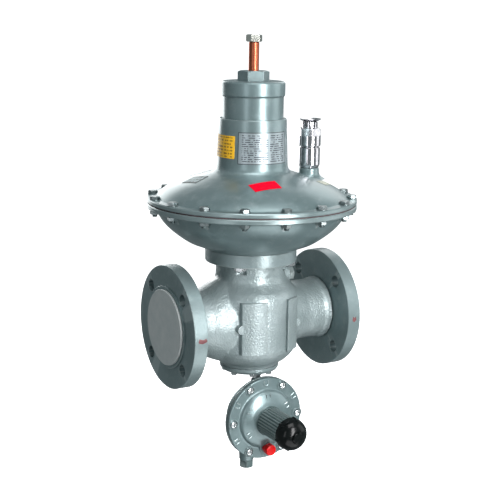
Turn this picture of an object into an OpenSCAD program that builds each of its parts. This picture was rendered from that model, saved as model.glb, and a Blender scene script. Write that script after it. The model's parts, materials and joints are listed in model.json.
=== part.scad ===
// Pressure reducing valve for gas: a flanged globe body, a spring loaded diaphragm
// actuator above it and a slam shut trip unit below it.
// X runs along the pipe from the inlet to the outlet, +Z is up and -Y is the front.
// The origin is the centre of the inlet flange's bolting face.

/* [Pipe connection] */
// Face to face length over both raised faces
face_to_face = 298; // [280:1:330]
// Outer diameter of the pipe flanges
flange_d = 190.5; // [184:0.5:230]
// Thickness of a pipe flange behind its raised face
flange_t = 21.9; // [17:0.1:27]
// Bolt circle diameter of the pipe flanges
flange_pcd = 152.4; // [148:0.1:160]
// Diameter of the inlet flange's bolt holes
inlet_hole_d = 19; // [16:0.5:22]
// Diameter of the outlet flange's bolt holes
outlet_hole_d = 19.4; // [16.4:0.5:22.4]
// Diameter of the raised faces
raised_d = 127; // [120:1:130]
// Nominal bore of both ports
bore_d = 80; // [66:1:82]

/* [Valve body] */
// Radius of the barrel of the body
barrel_r = 74; // [70:1:80]
// Radius of the neck above the barrel
neck_r = 55; // [53:0.5:58]
// Height of the body's top face above the pipe axis
body_top = 112; // [105:1:130]

/* [Actuator] */
// Radius of the diaphragm casing over its rim
casing_r = 163.4; // [136:0.1:196]
// Number of screws round the casing rim
rim_screws = 16; // [12:2:18]
// Thread diameter of the rim screws
rim_screw_d = 8; // [6:1:10]
// Radius of the spring tube at its foot
tube_r = 55; // [54:0.5:58]
// Height of the spring tube's top face above the pipe axis
tube_top = 314; // [305:1:340]

/* [Main spring] */
// Wire diameter of the main spring
spring_wire = 8; // [6:0.5:10]
// Number of coils of the main spring
spring_coils = 7; // [5:1:9]

/* [Travels] */
// Lift of the regulator plug from open to shut
plug_lift = 15; // [10:1:17]
// Travel of the slam shut cup from open to shut
cup_travel = 23; // [18:1:24]

/* [Trip unit] */
// Height of the trip unit's axis, below the pipe axis
trip_z = -155; // [-175:1:-150]
// Radius of the trip unit's rim
trip_r = 66; // [60:0.5:72]
// Radius of the trip unit's domed cap
trip_cap_r = 25; // [23.5:0.5:28]

/* [Show] */

/* [Hidden] */
$fn = 96;
eps = 0.5;
fit = 0.05;
raised_h = 2;
axis_x = face_to_face / 2 - raised_h;
outlet_x = face_to_face - 2 * raised_h;
flange_r = flange_d / 2;
bore_r = bore_d / 2;

// Body
web_low = -6;
web_high = 10;
chamber_r = 46;
chamber_low = -62;
body_bottom = -76;
mouth_r = 34;
body_bore_r = 45;
collar_h = 20;
collar_r = 72;
stud_r = 5;
stud_pcr = 62;
stud_nut_af = 17;
stud_nut_h = 6;
spot_face = 0.6;
seat_bore_r = 33;
sense_z = 62.5;
sense_face = neck_r + 13;
pad_r = barrel_r + 3.5;

// Seats
seat_face = -11;
seat_inner_r = 18;
seat_outer_r = 28;
edge_w = 2;

// Bottom cover
cover_r = 47;
cover_t = 8.5;
cover_bottom = body_bottom - cover_t;
cover_screw_r = 2.5;
cover_screw_pcr = 39;
spigot_top = -71;
link_y = -27;
link_r = 2.5;

// Actuator casing
rim_low = body_top + 64;
rim_split_low = body_top + 72;
diaphragm_t = 1.6;
rim_split_high = rim_split_low + diaphragm_t;
rim_high = rim_split_high + 7.1;
rim_pcr = casing_r - 8.4;
rim_in_r = casing_r - 25.4;
rim_screw_r = rim_screw_d / 2;
rim_af = 1.6 * rim_screw_d;
rim_head_h = 0.68 * rim_screw_d;
rim_seat_low = rim_low + 0.5;
rim_seat_high = rim_high - 0.4;
tube_top_r = tube_r - 3;
tube_bore_r = 47.1;
tube_seat_r = 44;
tube_foot = body_top + 123;
tube_step = body_top + 150;

// Moving stem and plates
stem_r = 6;
bush_r = 9;
plate_z = rim_split_low - 8;
plate_t = 3;
plate_r = casing_r - 68.4;
pad_top = seat_face - plug_lift;
plug_r = 23;
plug_low = pad_top - 10;
plug_nut_h = 4.5;
spring_foot = plate_z + diaphragm_t + plate_t + 3;

// Adjusting gear
sleeve_r = 47;
sleeve_low = tube_top - 24;
sleeve_high = tube_top + 33;
cap_r = 49;
cap_high = sleeve_high + 23.6;
bush_af = 43;
bush_high = cap_high + 15.4;
rod_r = 8;
rod_af = 22;
rod_high = bush_high + 43;
rod_top = bush_high + 54;
upper_seat_t = 6;
thrust_t = 3;
spring_head = sleeve_low - thrust_t - upper_seat_t;
spring_r = 34;

// Slam shut
cup_r = 31;
cup_wall = 4;
cup_rim = seat_face - cup_travel;
cup_floor = -70;
pin_r = 5;

// Vent
vent_x = casing_r - 58.4;
vent_r = 17;
vent_foot = body_top + 120;

// Trip unit
rear_y = -12;
split_y = -46;
trip_lip = 4.5;
trip_sheet = 1;
trip_face = -54;
trip_dome_r = 47;
trip_dome_face = -66;
trip_tube_r = 22;
trip_tube_end = -122;
trip_screw_pcr = trip_r - 7.6;
trip_screw_r = 3;
trip_bore_r = 14;
cap_front = -150;
trip_rod_start = -split_y + trip_sheet + 1;
trip_rod_end = -trip_tube_end + 16.6;
button_r = 9;
button_r_pos = 47;
button_boss = 4;
fitting_x = -18;

// ---- shared shapes ----
module at_axis() translate([axis_x, 0, 0]) children();

// A turned solid from radius and height pairs
module lathe(points) rotate_extrude() polygon(points);

// A turned solid about the X axis from radius and X pairs
module lathe_x(points) rotate([0, 90, 0]) lathe(points);

// The trip unit's axis: local z runs to the front, local x to the right
module at_trip() translate([axis_x, 0, trip_z]) rotate([90, 0, 0]) children();

module ring_of(count, radius, first = 0)
    for (i = [0 : count - 1])
        rotate([0, 0, first + i * 360 / count]) translate([radius, 0, 0]) children();

module hexagon(af, h) cylinder(d = af / cos(30), h = h, $fn = 6);

module hollow(ro, ri, h) difference() {
    cylinder(r = ro, h = h);
    translate([0, 0, -eps]) cylinder(r = ri, h = h + 2 * eps);
}

module o_ring(major, minor) rotate_extrude() translate([major, 0]) circle(r = minor);

// A round wire coil with closed ends, as one swept skin
module coil(radius, wire_r, z0, z1, turns, steps = 20, sides = 8) {
    count = turns * steps;
    rise = z1 - z0 - 2 * wire_r;
    function ease(t) = t < 0.1 ? 0 : t > 0.9 ? 1 : (t - 0.1) / 0.8;
    points = [for (i = [0 : count]) let(a = 360 * i / steps, z = z0 + wire_r + rise * ease(i / count))
        for (k = [0 : sides - 1]) let(b = 360 * k / sides, q = radius + wire_r * cos(b))
            [q * cos(a), q * sin(a), z + wire_r * sin(b) + wire_r * 0.08 * i / count]];
    walls = [for (i = [0 : count - 1]) for (k = [0 : sides - 1]) let(n = (k + 1) % sides)
        [i * sides + k, i * sides + n, (i + 1) * sides + n, (i + 1) * sides + k]];
    first = [for (k = [sides - 1 : -1 : 0]) k];
    last = [for (k = [0 : sides - 1]) count * sides + k];
    polyhedron(points, concat([first], walls, [last]), convexity = 10);
}

// ---- valve body ----
module pipe_flange(hole_d) {
    difference() {
        union() {
            rotate([0, 90, 0]) cylinder(r = flange_r, h = flange_t);
            translate([-raised_h, 0, 0]) rotate([0, 90, 0]) cylinder(d = raised_d, h = raised_h + eps);
        }
        rotate([45, 0, 0]) rotate([0, 90, 0])
            translate([0, 0, -eps]) ring_of(4, flange_pcd / 2)
                cylinder(d = hole_d, h = flange_t + 2 * eps);
    }
}

module body_outside() {
    half = axis_x - flange_t;
    at_axis() {
        lathe([[0, body_bottom], [cover_r, body_bottom], [49, -71], [60, -64], [66.6, -57],
            [barrel_r - 2.6, -50], [barrel_r, -45], [barrel_r, 35], [barrel_r - 1.6, 43],
            [68, 50], [62, 56], [neck_r + 1, 63], [neck_r, 70],
            [neck_r, body_top - collar_h], [collar_r, body_top - collar_h],
            [collar_r, body_top], [0, body_top]]);
        lathe_x([[0, -half - eps], [bore_r + 9.5, -half - eps], [bore_r + 9.5, -half + 8],
            [bore_r + 8, -half + 9], [bore_r + 9, -half + 27], [bore_r + 12, -half + 36],
            [bore_r + 18, -half + 48], [bore_r + 23, -half + 60], [bore_r + 24, -40], [0, -40]]);
        lathe_x([[0, 30], [bore_r + 14, 30], [bore_r + 8, 70], [bore_r + 7.5, half - 9],
            [bore_r + 9.5, half - 8], [bore_r + 9.5, half + eps], [0, half + eps]]);
        for (side = [-128, 52])
            rotate_extrude(angle = 78, start = side) translate([60, -43]) square([pad_r - 60, 82]);
        translate([40, 0, sense_z]) rotate([0, 90, 0]) cylinder(r = 14, h = sense_face - 40);
    }
    pipe_flange(inlet_hole_d);
    translate([outlet_x, 0, 0]) mirror([1, 0, 0]) pipe_flange(outlet_hole_d);
}

// One port: straight bore, then a tilted passage that stays on its side of the web
module port_way(low) {
    tilt = 23;
    guard_z = low ? web_low - 1 : -60;
    guard_h = low ? 67 : 61 + web_high;
    lathe_x([[0, -axis_x - 2 * raised_h], [bore_r, -axis_x - 2 * raised_h], [bore_r, -90],
        [bore_r - 12, -76], [0, -76]]);
    difference() {
        translate([-92, 0, 0]) rotate([0, 90 + (low ? tilt : -tilt), 0]) cylinder(r = 26, h = 62);
        translate([-54, -60, guard_z]) cube([60, 120, guard_h]);
    }
}

module valve_body() color("#87969a") difference() {
    body_outside();
    at_axis() {
        port_way(true);
        mirror([1, 0, 0]) port_way(false);
        lathe([[0, body_bottom - eps], [mouth_r, body_bottom - eps], [mouth_r, chamber_low],
            [chamber_r, chamber_low], [chamber_r, web_low], [0, web_low]]);
        lathe([[0, web_high], [chamber_r, web_high], [chamber_r, body_top - 50], [38, body_top - 38],
            [38, body_top - 28], [body_bore_r, body_top - 28], [body_bore_r, body_top + eps],
            [0, body_top + eps]]);
        translate([0, 0, web_low - eps]) cylinder(r = seat_bore_r + fit, h = 18);
        translate([0, 0, body_bottom - eps]) ring_of(8, cover_screw_pcr, 22.5)
            cylinder(r = cover_screw_r, h = 11.5 + eps);
        translate([0, 0, body_top - collar_h - eps]) ring_of(4, stud_pcr, 45)
            cylinder(r = stud_r + 0.4, h = collar_h + 2 * eps);
        translate([0, 0, body_top - collar_h - 14]) ring_of(4, stud_pcr, 45)
            cylinder(r = 11.5, h = 14 + spot_face);
        translate([30, 0, sense_z]) rotate([0, 90, 0]) cylinder(r = 6, h = sense_face - 35);
        translate([sense_face - 14, 0, sense_z]) rotate([0, 90, 0]) cylinder(r = 10, h = 20);
    }
}

module inlet_transit_cover() color("#c9c6d2") translate([-raised_h - 3, 0, 0])
    rotate([0, 90, 0]) {
        cylinder(r = raised_d / 2 - 5, h = 3);
        translate([0, 0, 3]) hollow(bore_r - 0.3, bore_r - 2.3, 12);
    }

module seat_ring() color("#b9bcbf") at_axis() difference() {
    lathe([[seat_inner_r, seat_face], [seat_inner_r + edge_w, seat_face],
        [seat_inner_r + edge_w, seat_face + 2], [seat_outer_r, seat_face + 2], [seat_outer_r, seat_face], [seat_outer_r + edge_w, seat_face],
        [seat_outer_r + edge_w, seat_face + 2], [seat_bore_r, seat_face + 3], [seat_bore_r, web_high],
        [39, web_high], [39, web_high + 5], [27, web_high + 5], [seat_inner_r, -3]]);
    translate([0, 0, web_high - eps]) hollow(37.6, 34.4, 2.4 + eps);
    translate([0, 0, web_high + 3]) ring_of(4, 33.5) cylinder(r = 2.5, h = 3);
}

module seat_ring_seal() color("#1c1c1e") at_axis() translate([0, 0, web_high + 1.15]) o_ring(36, 1.1);

// ---- bottom cover ----
module bottom_cover() color("#87969a") at_axis() difference() {
    lathe([[0, cover_bottom], [cover_r - 3, cover_bottom], [cover_r, cover_bottom + 4],
        [cover_r, body_bottom], [mouth_r - 0.1, body_bottom], [mouth_r - 0.1, -74.4], [31.3, -74.4], [31.3, -72.2],
        [mouth_r - 0.1, -72.2], [mouth_r - 0.1, spigot_top], [0, spigot_top]]);
    translate([0, 0, cover_bottom + 3]) hollow(19, 10, 30);
    translate([0, 0, cover_bottom + 3]) cylinder(r = 8, h = 30);
    translate([0, 0, cover_bottom - eps]) ring_of(8, cover_screw_pcr, 22.5)
        cylinder(r = cover_screw_r + 0.3, h = cover_t + 2 * eps);
    translate([0, link_y, cover_bottom - eps]) {
        cylinder(r = 4.3, h = 30);
        cylinder(r = 5, h = 8);
    }
}

module bottom_cover_seal() color("#1c1c1e") at_axis() translate([0, 0, -73.3]) o_ring(32.65, 1);

module bottom_cover_screws() color("#c8cacc") at_axis() ring_of(8, cover_screw_pcr, 22.5) {
    translate([0, 0, cover_bottom - 4.2]) difference() {
        hexagon(8, 4.2);
        translate([0, 0, -eps]) cylinder(r = 2, h = 1 + eps);
    }
    translate([0, 0, cover_bottom - eps]) cylinder(r = cover_screw_r - fit, h = cover_t + 10 + eps);
}

// ---- actuator casing ----
module lower_casing() color("#87969a") at_axis() difference() {
    union() {
        lathe([[bush_r, body_top - 14], [body_bore_r - 0.1, body_top - 14], [body_bore_r - 0.1, body_top],
            [70, body_top], [0.49 * casing_r, body_top + 4], [0.618 * casing_r, body_top + 12],
            [0.69 * casing_r, body_top + 20], [0.753 * casing_r, body_top + 28],
            [0.808 * casing_r, body_top + 36], [0.851 * casing_r, body_top + 44],
            [0.884 * casing_r, body_top + 52], [0.903 * casing_r, body_top + 60],
            [0.918 * casing_r, rim_low], [casing_r - 1, rim_low], [casing_r, rim_low + 1],
            [casing_r, rim_split_low - 1], [casing_r - 1, rim_split_low],
            [rim_in_r, rim_split_low], [rim_in_r - 1, body_top + 60], [rim_in_r - 8, body_top + 46],
            [rim_in_r - 22, body_top + 34], [rim_in_r - 42, body_top + 23], [78, body_top + 15],
            [50, body_top + 12], [20, body_top + 12], [18, body_top + 20], [bush_r, body_top + 20]]);
    }
    translate([0, 0, body_top - 7]) hollow(body_bore_r + 2, 42, 2.6);
    translate([0, 0, body_top - eps]) ring_of(4, stud_pcr, 45) cylinder(r = stud_r, h = 9.5 + eps);
    translate([0, 0, body_top - 20]) ring_of(4, 30, 0) cylinder(r = 4, h = 40);
    translate([0, 0, rim_low - eps]) ring_of(rim_screws, rim_pcr, 180 / rim_screws)
        cylinder(r = rim_screw_r + 0.3, h = 12);
    translate([0, 0, rim_seat_low - 16]) ring_of(rim_screws, rim_pcr, 180 / rim_screws)
        cylinder(r = rim_af * 0.76, h = 16);
}

module casing_seal() color("#1c1c1e") at_axis() translate([0, 0, body_top - 5.7]) o_ring(43.4, 1.2);

module casing_studs() color("#cdd0d2") at_axis() ring_of(4, stud_pcr, 45)
    lathe([[0, body_top - 28], [stud_r - 1.2, body_top - 28], [stud_r - fit, body_top - 26.8],
        [stud_r - fit, body_top + 8], [stud_r - 1.5, body_top + 9.2], [0, body_top + 9.2]]);

module casing_nuts() color("#c3c6c8") at_axis() ring_of(4, stud_pcr, 45)
    translate([0, 0, body_top - collar_h + spot_face - stud_nut_h]) difference() {
        intersection() {
            hexagon(stud_nut_af, stud_nut_h);
            lathe([[0, 0], [8, 0], [10, 1.2], [10, stud_nut_h], [0, stud_nut_h]]);
        }
        translate([0, 0, -eps]) cylinder(r = stud_r, h = stud_nut_h + 2 * eps);
    }

module upper_casing() color("#87969a") at_axis() difference() {
    union() {
        lathe([[casing_r - 1, rim_split_high], [casing_r, rim_split_high + 1], [casing_r, rim_high - 1],
            [casing_r - 1, rim_high], [0.924 * casing_r, rim_high], [0.908 * casing_r, rim_high + 2],
            [0.881 * casing_r, rim_high + 5], [0.832 * casing_r, rim_high + 11],
            [0.765 * casing_r, rim_high + 17], [0.679 * casing_r, rim_high + 23],
            [0.566 * casing_r, rim_high + 29], [0.459 * casing_r, rim_high + 35],
            [tube_r + 3, rim_high + 41], [tube_r, rim_high + 44], [tube_top_r, tube_top - 1.5],
            [tube_top_r - 1.5, tube_top], [tube_bore_r, tube_top], [tube_bore_r, tube_step],
            [tube_seat_r, tube_step], [tube_seat_r, tube_foot], [tube_seat_r + 6, rim_high + 38],
            [0.38 * casing_r, rim_high + 33], [0.49 * casing_r, rim_high + 27],
            [0.6 * casing_r, rim_high + 21], [0.7 * casing_r, rim_high + 15],
            [0.77 * casing_r, rim_high + 9], [0.82 * casing_r, rim_high + 3],
            [rim_in_r, rim_high - 3], [rim_in_r, rim_split_high]]);
        translate([vent_x, 0, rim_high + 17]) cylinder(r = 16, h = vent_foot - rim_high - 17);
    }
    translate([vent_x, 0, rim_high + 10]) cylinder(r = 6, h = 40);
    translate([vent_x, 0, vent_foot - 10]) cylinder(r = 10, h = 12);
    translate([0, 0, rim_split_high - eps]) ring_of(rim_screws, rim_pcr, 180 / rim_screws)
        cylinder(r = rim_screw_r + 0.3, h = 12);
    translate([0, 0, rim_seat_high]) ring_of(rim_screws, rim_pcr, 180 / rim_screws)
        cylinder(r = rim_af * 0.66, h = 14);
}

module rim_bolts() color("#cdd0d2") at_axis() ring_of(rim_screws, rim_pcr, 180 / rim_screws) {
    translate([0, 0, rim_seat_high]) intersection() {
        hexagon(rim_af, rim_head_h);
        lathe([[0, 0], [1.2 * rim_screw_r + 4, 0], [1.2 * rim_screw_r + 4, rim_head_h - 1],
            [1.45 * rim_screw_r, rim_head_h], [0, rim_head_h]]);
    }
    translate([0, 0, rim_low - rim_head_h - 3])
        cylinder(r = rim_screw_r, h = rim_seat_high - rim_low + rim_head_h + 3 + eps);
}

module rim_nuts() color("#c3c6c8") at_axis() ring_of(rim_screws, rim_pcr, 180 / rim_screws)
    translate([0, 0, rim_seat_low - rim_head_h]) difference() {
        hexagon(rim_af, rim_head_h);
        translate([0, 0, -eps]) cylinder(r = rim_screw_r + fit, h = rim_head_h + 2 * eps);
    }

module stem_guide_bush() color("#b08d4a") at_axis() difference() {
    lathe([[stem_r + fit, body_top - 12], [bush_r - fit, body_top - 12], [bush_r - fit, body_top + 20],
        [12, body_top + 20], [12, body_top + 23], [stem_r + fit, body_top + 23]]);
    translate([0, 0, body_top + 4]) cylinder(r = 8.3, h = 2.6);
}

module stem_guide_seal() color("#1c1c1e") at_axis() translate([0, 0, body_top + 5.3]) o_ring(7.2, 1);

// ---- moving stem, plates and spring ----
module stem() color("#c5c8ca") at_axis() {
    low = plug_low - plug_nut_h - 0.3;
    lathe([[0, low], [4, low], [4, pad_top - 2], [stem_r, pad_top - 2], [stem_r, plate_z - plate_t - 4],
        [9, plate_z - plate_t - 4], [9, plate_z - plate_t], [5, plate_z - plate_t],
        [5, spring_foot + 22], [0, spring_foot + 22]]);
}

module regulator_plug() color("#a9adb0") at_axis() difference() {
    lathe([[4 + fit, plug_low], [17, plug_low], [plug_r, plug_low + 4], [plug_r, pad_top - 0.8],
        [plug_r - 1, pad_top - 0.8], [plug_r - 1, pad_top - 3.2], [12, pad_top - 3.2], [12, pad_top - 2],
        [4 + fit, pad_top - 2]]);
}

module plug_pad() color("#232426") at_axis() translate([0, 0, pad_top - 3.2])
    hollow(plug_r - 1 - fit, 12 + fit, 3.2);

module plug_nut() color("#c3c6c8") at_axis() translate([0, 0, plug_low - plug_nut_h]) difference() {
    hexagon(14, plug_nut_h);
    translate([0, 0, -eps]) cylinder(r = 4 + fit, h = plug_nut_h + 2 * eps);
}

module diaphragm() color("#2b2622") at_axis() {
    bend = plate_r + 3;
    difference() {
        lathe([[5 + fit, plate_z], [bend, plate_z], [bend + 8, plate_z - 9], [bend + 20, plate_z - 13],
            [rim_in_r - 12, plate_z - 9], [rim_in_r - 3, rim_split_low], [casing_r - 1.9, rim_split_low],
            [casing_r - 1.9, rim_split_high], [rim_in_r - 4, rim_split_high],
            [rim_in_r - 13, plate_z - 7], [bend + 20, plate_z - 11.2], [bend + 9, plate_z - 7.6],
            [bend + 1, plate_z + diaphragm_t], [5 + fit, plate_z + diaphragm_t]]);
        translate([0, 0, rim_split_low - eps]) ring_of(rim_screws, rim_pcr, 180 / rim_screws)
            cylinder(r = rim_screw_r + 0.3, h = diaphragm_t + 2 * eps);
    }
}

module diaphragm_plate_lower() color("#9fa3a6") at_axis() translate([0, 0, plate_z - plate_t])
    hollow(plate_r - 4, 5 + fit, plate_t);

module diaphragm_plate_upper() color("#9fa3a6") at_axis()
    lathe([[5 + fit, plate_z + diaphragm_t], [plate_r, plate_z + diaphragm_t],
        [plate_r, plate_z + diaphragm_t + 7], [plate_r - 2.5, plate_z + diaphragm_t + 7],
        [plate_r - 2.5, plate_z + diaphragm_t + plate_t], [5 + fit, plate_z + diaphragm_t + plate_t]]);

module lower_spring_seat() color("#8f9396") at_axis() {
    base = plate_z + diaphragm_t + plate_t;
    lathe([[5 + fit, base], [42, base], [42, base + 6], [40.4, base + 6], [40.4, base + 3],
        [27, base + 3], [24, base + 8], [5 + fit, base + 8]]);
}

module diaphragm_nut() color("#c3c6c8") at_axis()
    translate([0, 0, plate_z + diaphragm_t + plate_t + 8]) difference() {
        hexagon(19, 9);
        translate([0, 0, -eps]) cylinder(r = 5 + fit, h = 9 + 2 * eps);
    }

module main_spring() color("#3f6f4a") at_axis()
    coil(spring_r, spring_wire / 2, spring_foot + 0.1, spring_head - 0.5, spring_coils);

module indicator_rod() color("#a8512f") at_axis() {
    low = spring_foot + 15;
    difference() {
        lathe([[0, low], [rod_r, low], [rod_r, rod_high - 2], [rod_r - 1, rod_high], [0, rod_high]]);
        translate([0, 0, low - eps]) cylinder(r = 5 + fit, h = 8);
    }
}

module rod_nut() color("#c9a24e") at_axis() rotate([0, 0, -51.4 - 30]) translate([0, 0, rod_high])
    intersection() {
        hexagon(rod_af, rod_top - rod_high);
        lathe([[0, 0], [0.5 * rod_af, 0], [0.59 * rod_af, 1.4], [0.59 * rod_af, 9.6],
            [0.5 * rod_af, rod_top - rod_high], [0, rod_top - rod_high]]);
    }

// ---- adjusting gear ----
module upper_spring_seat() color("#8f9396") at_axis()
    lathe([[rod_r + 1.5, spring_head - 6], [26, spring_head - 6], [27, spring_head],
        [41, spring_head], [41, spring_head + upper_seat_t], [rod_r + 1.5, spring_head + upper_seat_t]]);

module thrust_ring() color("#b9bcbf") at_axis() translate([0, 0, sleeve_low - thrust_t])
    hollow(40, 18, thrust_t - 0.3);

module adjusting_sleeve() color("#87969a") at_axis() difference() {
    lathe([[15, sleeve_low], [sleeve_r - 1, sleeve_low], [sleeve_r, sleeve_low + 1], [sleeve_r, sleeve_high],
        [sleeve_r - 3, sleeve_high], [sleeve_r - 3, sleeve_high + 14], [sleeve_r - 7, sleeve_high + 14],
        [sleeve_r - 7, sleeve_low + 8], [15, sleeve_low + 8]]);
}

module adjusting_cap() color("#87969a") at_axis() difference() {
    lathe([[sleeve_r - 3 + fit, sleeve_high], [cap_r - 2, sleeve_high], [cap_r, sleeve_high + 3],
        [cap_r, cap_high - 3], [cap_r - 2.5, cap_high], [13, cap_high], [13, cap_high - 8],
        [sleeve_r - 3 + fit, cap_high - 8]]);
}

module top_bush() color("#87969a") at_axis() difference() {
    union() {
        rotate([0, 0, -51.4 - 30]) translate([0, 0, cap_high]) intersection() {
            hexagon(bush_af, bush_high - cap_high);
            lathe([[0, 0], [0.6 * bush_af, 0], [0.6 * bush_af, 13],
                [0.54 * bush_af, bush_high - cap_high], [0, bush_high - cap_high]]);
        }
        translate([0, 0, cap_high - 8]) cylinder(r = 13 - fit, h = 8 + eps);
    }
    translate([0, 0, cap_high - 10]) cylinder(r = rod_r + 0.08, h = 40);
}

// ---- vent on the dome ----
module at_vent() translate([axis_x + vent_x, 0, vent_foot]) children();

module vent_body() color("#c4c7cd") at_vent() difference() {
    union() {
        lathe([[5, -9], [10 - fit, -9], [10 - fit, 0], [14.5, 0], [15.5, 1], [vent_r, 3], [vent_r, 31],
            [vent_r - 2, 33.5], [13, 33.5], [13, 38], [5, 38]]);
    }
    ring_of(2, 17.5, 30) translate([0, 0, 5]) cylinder(r = 1.6, h = 3);
}

module vent_collar() color("#c4c7cd") at_vent() translate([0, 0, 34.5]) intersection() {
    difference() {
        lathe([[0, 0], [vent_r, 0], [vent_r + 0.8, 1.5], [vent_r + 0.8, 26],
            [vent_r - 1.5, 28.5], [0, 28.5]]);
        translate([0, 0, -eps]) cylinder(r = 13 + fit, h = 5.5);
        cylinder(r = 9, h = 40);
    }
    rotate([0, 0, 9]) hexagon(34, 40);
}

module vent_crown() color("#c4c7cd") at_vent() translate([0, 0, 63]) difference() {
    hollow(12.5, 9, 9.6);
    translate([0, 0, 2]) ring_of(12, 7) translate([0, -1.6, 0]) cube([8, 3.2, 9]);
}

module vent_disc() color("#d0d2d6") at_vent() {
    difference() {
        lathe([[0, 73], [11, 73], [16, 76.4], [16.4, 77.6], [14.5, 77.6], [8, 75.6], [0, 75.6]]);
        ring_of(6, 14.5) translate([0, 0, 74]) cylinder(r = 1.2, h = 5);
    }
    translate([0, 0, 44]) cylinder(r = 3, h = 29 + eps);
    translate([0, 0, 44]) cylinder(r = 6, h = 2.5);
}

module vent_spring() color("#b9bcbf") at_vent() coil(7.6, 0.6, 46.8, 60.6, 6, 16, 6);

module vent_guide() color("#c4c7cd") at_vent() translate([0, 0, 61]) hollow(8.95, 3.06, 2);

module sense_port_plug() color("#1b1c1e") at_axis() translate([0, 0, sense_z]) rotate([0, 90, 0]) {
    translate([0, 0, sense_face]) intersection() {
        hexagon(21, 8);
        lathe([[0, 0], [12.5, 0], [12.5, 6.6], [10.6, 8], [0, 8]]);
    }
    translate([0, 0, sense_face - 13]) cylinder(r = 10 - fit, h = 13 + eps);
}

// ---- slam shut ----
module slam_cup() color("#aab0b3") at_axis() difference() {
    lathe([[pin_r + fit, cup_floor], [cup_r, cup_floor], [cup_r, cup_rim - 0.8], [cup_r - 0.5, cup_rim - 0.8],
        [cup_r - 0.5, cup_rim - 3], [cup_r - cup_wall + 0.5, cup_rim - 3],
        [cup_r - cup_wall + 0.5, cup_rim - 0.8], [cup_r - cup_wall, cup_rim - 0.8],
        [cup_r - cup_wall, cup_floor + 4], [pin_r + fit, cup_floor + 4]]);
    translate([0, 0, cup_floor - eps]) ring_of(6, 16) cylinder(r = 3, h = 6);
}

module slam_cup_seal() color("#232426") at_axis() translate([0, 0, cup_rim - 3])
    hollow(cup_r - 0.5 - fit, cup_r - cup_wall + 0.5 + fit, 3);

module slam_guide_pin() color("#c5c8ca") at_axis()
    lathe([[0, cover_bottom + 4], [pin_r, cover_bottom + 4], [pin_r, cup_floor + 4],
        [8, cup_floor + 4], [8, cup_floor + 5.5], [0, cup_floor + 5.5]]);

module slam_guide_bush() color("#b08d4a") at_axis() translate([0, 0, cover_bottom + 3.2])
    hollow(8 - fit, pin_r + fit, spigot_top - cover_bottom - 3.4);

module slam_spring() color("#7d8386") at_axis()
    coil(14.5, 1.1, cover_bottom + 3.2, cup_floor - 0.3, 3, 20, 8);

module trip_link() color("#c5c8ca") translate([axis_x, link_y, 0]) {
    top = cup_floor;
    cylinder_low = trip_z + 15;
    translate([0, 0, cylinder_low]) cylinder(r = link_r, h = top - cylinder_low);
}

module trip_link_seal() color("#1c1c1e") translate([axis_x, link_y, spigot_top - 3]) o_ring(3.4, 0.8);

// ---- trip unit ----
module trip_nipple() color("#87969a") translate([axis_x, link_y, 0]) difference() {
    union() {
        translate([0, 0, trip_z + 50]) cylinder(r = 5 - fit, h = cover_bottom + 7 - trip_z - 50);
        translate([0, 0, cover_bottom - 5.5]) hexagon(13, 5.5);
    }
    translate([0, 0, trip_z + 40]) cylinder(r = link_r + 0.1, h = 80);
}

module trip_rear_casing() color("#87969a") difference() {
    union() {
        at_trip() lathe([[0, -rear_y], [40, -rear_y], [50, -rear_y + 6], [52, -rear_y + 12],
            [54, -split_y - trip_lip], [trip_r - 0.6, -split_y - trip_lip],
            [trip_r, -split_y - trip_lip + 1], [trip_r, -split_y],
            [0, -split_y]]);
        translate([axis_x + fitting_x, link_y, trip_z - 74]) cylinder(r = 9.5, h = 40);
        translate([axis_x, link_y, trip_z + 30]) cylinder(r = 10, h = 28);
    }
    at_trip() {
        translate([0, 0, -rear_y + 8]) cylinder(r = 30, h = 60);
        translate([0, 0, -split_y - 6]) cylinder(r = 45, h = 10);
        translate([0, 0, -split_y - 12]) ring_of(6, trip_screw_pcr) cylinder(r = trip_screw_r, h = 20);
    }
    translate([axis_x, link_y, trip_z + 48]) cylinder(r = 5, h = 20);
    translate([axis_x, link_y, trip_z + 20]) cylinder(r = link_r + 0.5, h = 40);
    translate([axis_x + fitting_x, link_y, trip_z - 80]) cylinder(r = 5, h = 60);
    translate([axis_x + fitting_x, link_y, trip_z - 80]) cylinder(r = 6.5, h = 16);
}

module trip_diaphragm() color("#2b2622") at_trip() translate([0, 0, -split_y]) difference() {
    cylinder(r = trip_r - 0.8, h = trip_sheet);
    translate([0, 0, -eps]) ring_of(6, trip_screw_pcr) cylinder(r = trip_screw_r + 0.2, h = 3);
}

module trip_front_cover() color("#87969a") at_trip() difference() {
    base = -split_y + trip_sheet;
    union() {
        lathe([[20, base], [trip_r - 0.8, base], [trip_r, base + 1], [trip_r, -trip_face - 1],
            [trip_r - 1.2, -trip_face], [trip_dome_r + 1.5, -trip_face], [trip_dome_r, -trip_face + 1.5],
            [trip_dome_r - 2.5, -trip_face + 4], [38, -trip_dome_face - 3.5],
            [30, -trip_dome_face - 0.6], [trip_tube_r + 2, -trip_dome_face], [20, -trip_dome_face]]);
        translate([0, -button_r_pos, -trip_face - eps]) cylinder(r = button_r + 2.5, h = button_boss + eps);
    }
    translate([0, 0, base - eps]) cylinder(r1 = 43, r2 = 40, h = 8);
    translate([0, 0, base - eps]) cylinder(r = 20.05, h = 40);
    translate([0, 0, base - eps]) ring_of(6, trip_screw_pcr) cylinder(r = trip_screw_r + 0.3, h = 20);
    translate([0, 0, -trip_face - 1.2]) ring_of(6, trip_screw_pcr) cylinder(r = 6.8, h = 10);
    translate([0, -button_r_pos, base + 1]) cylinder(r = 7.2, h = 20);
    translate([0, -button_r_pos, -trip_face + button_boss]) cylinder(r = button_r + 0.8, h = 12);
}

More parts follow.
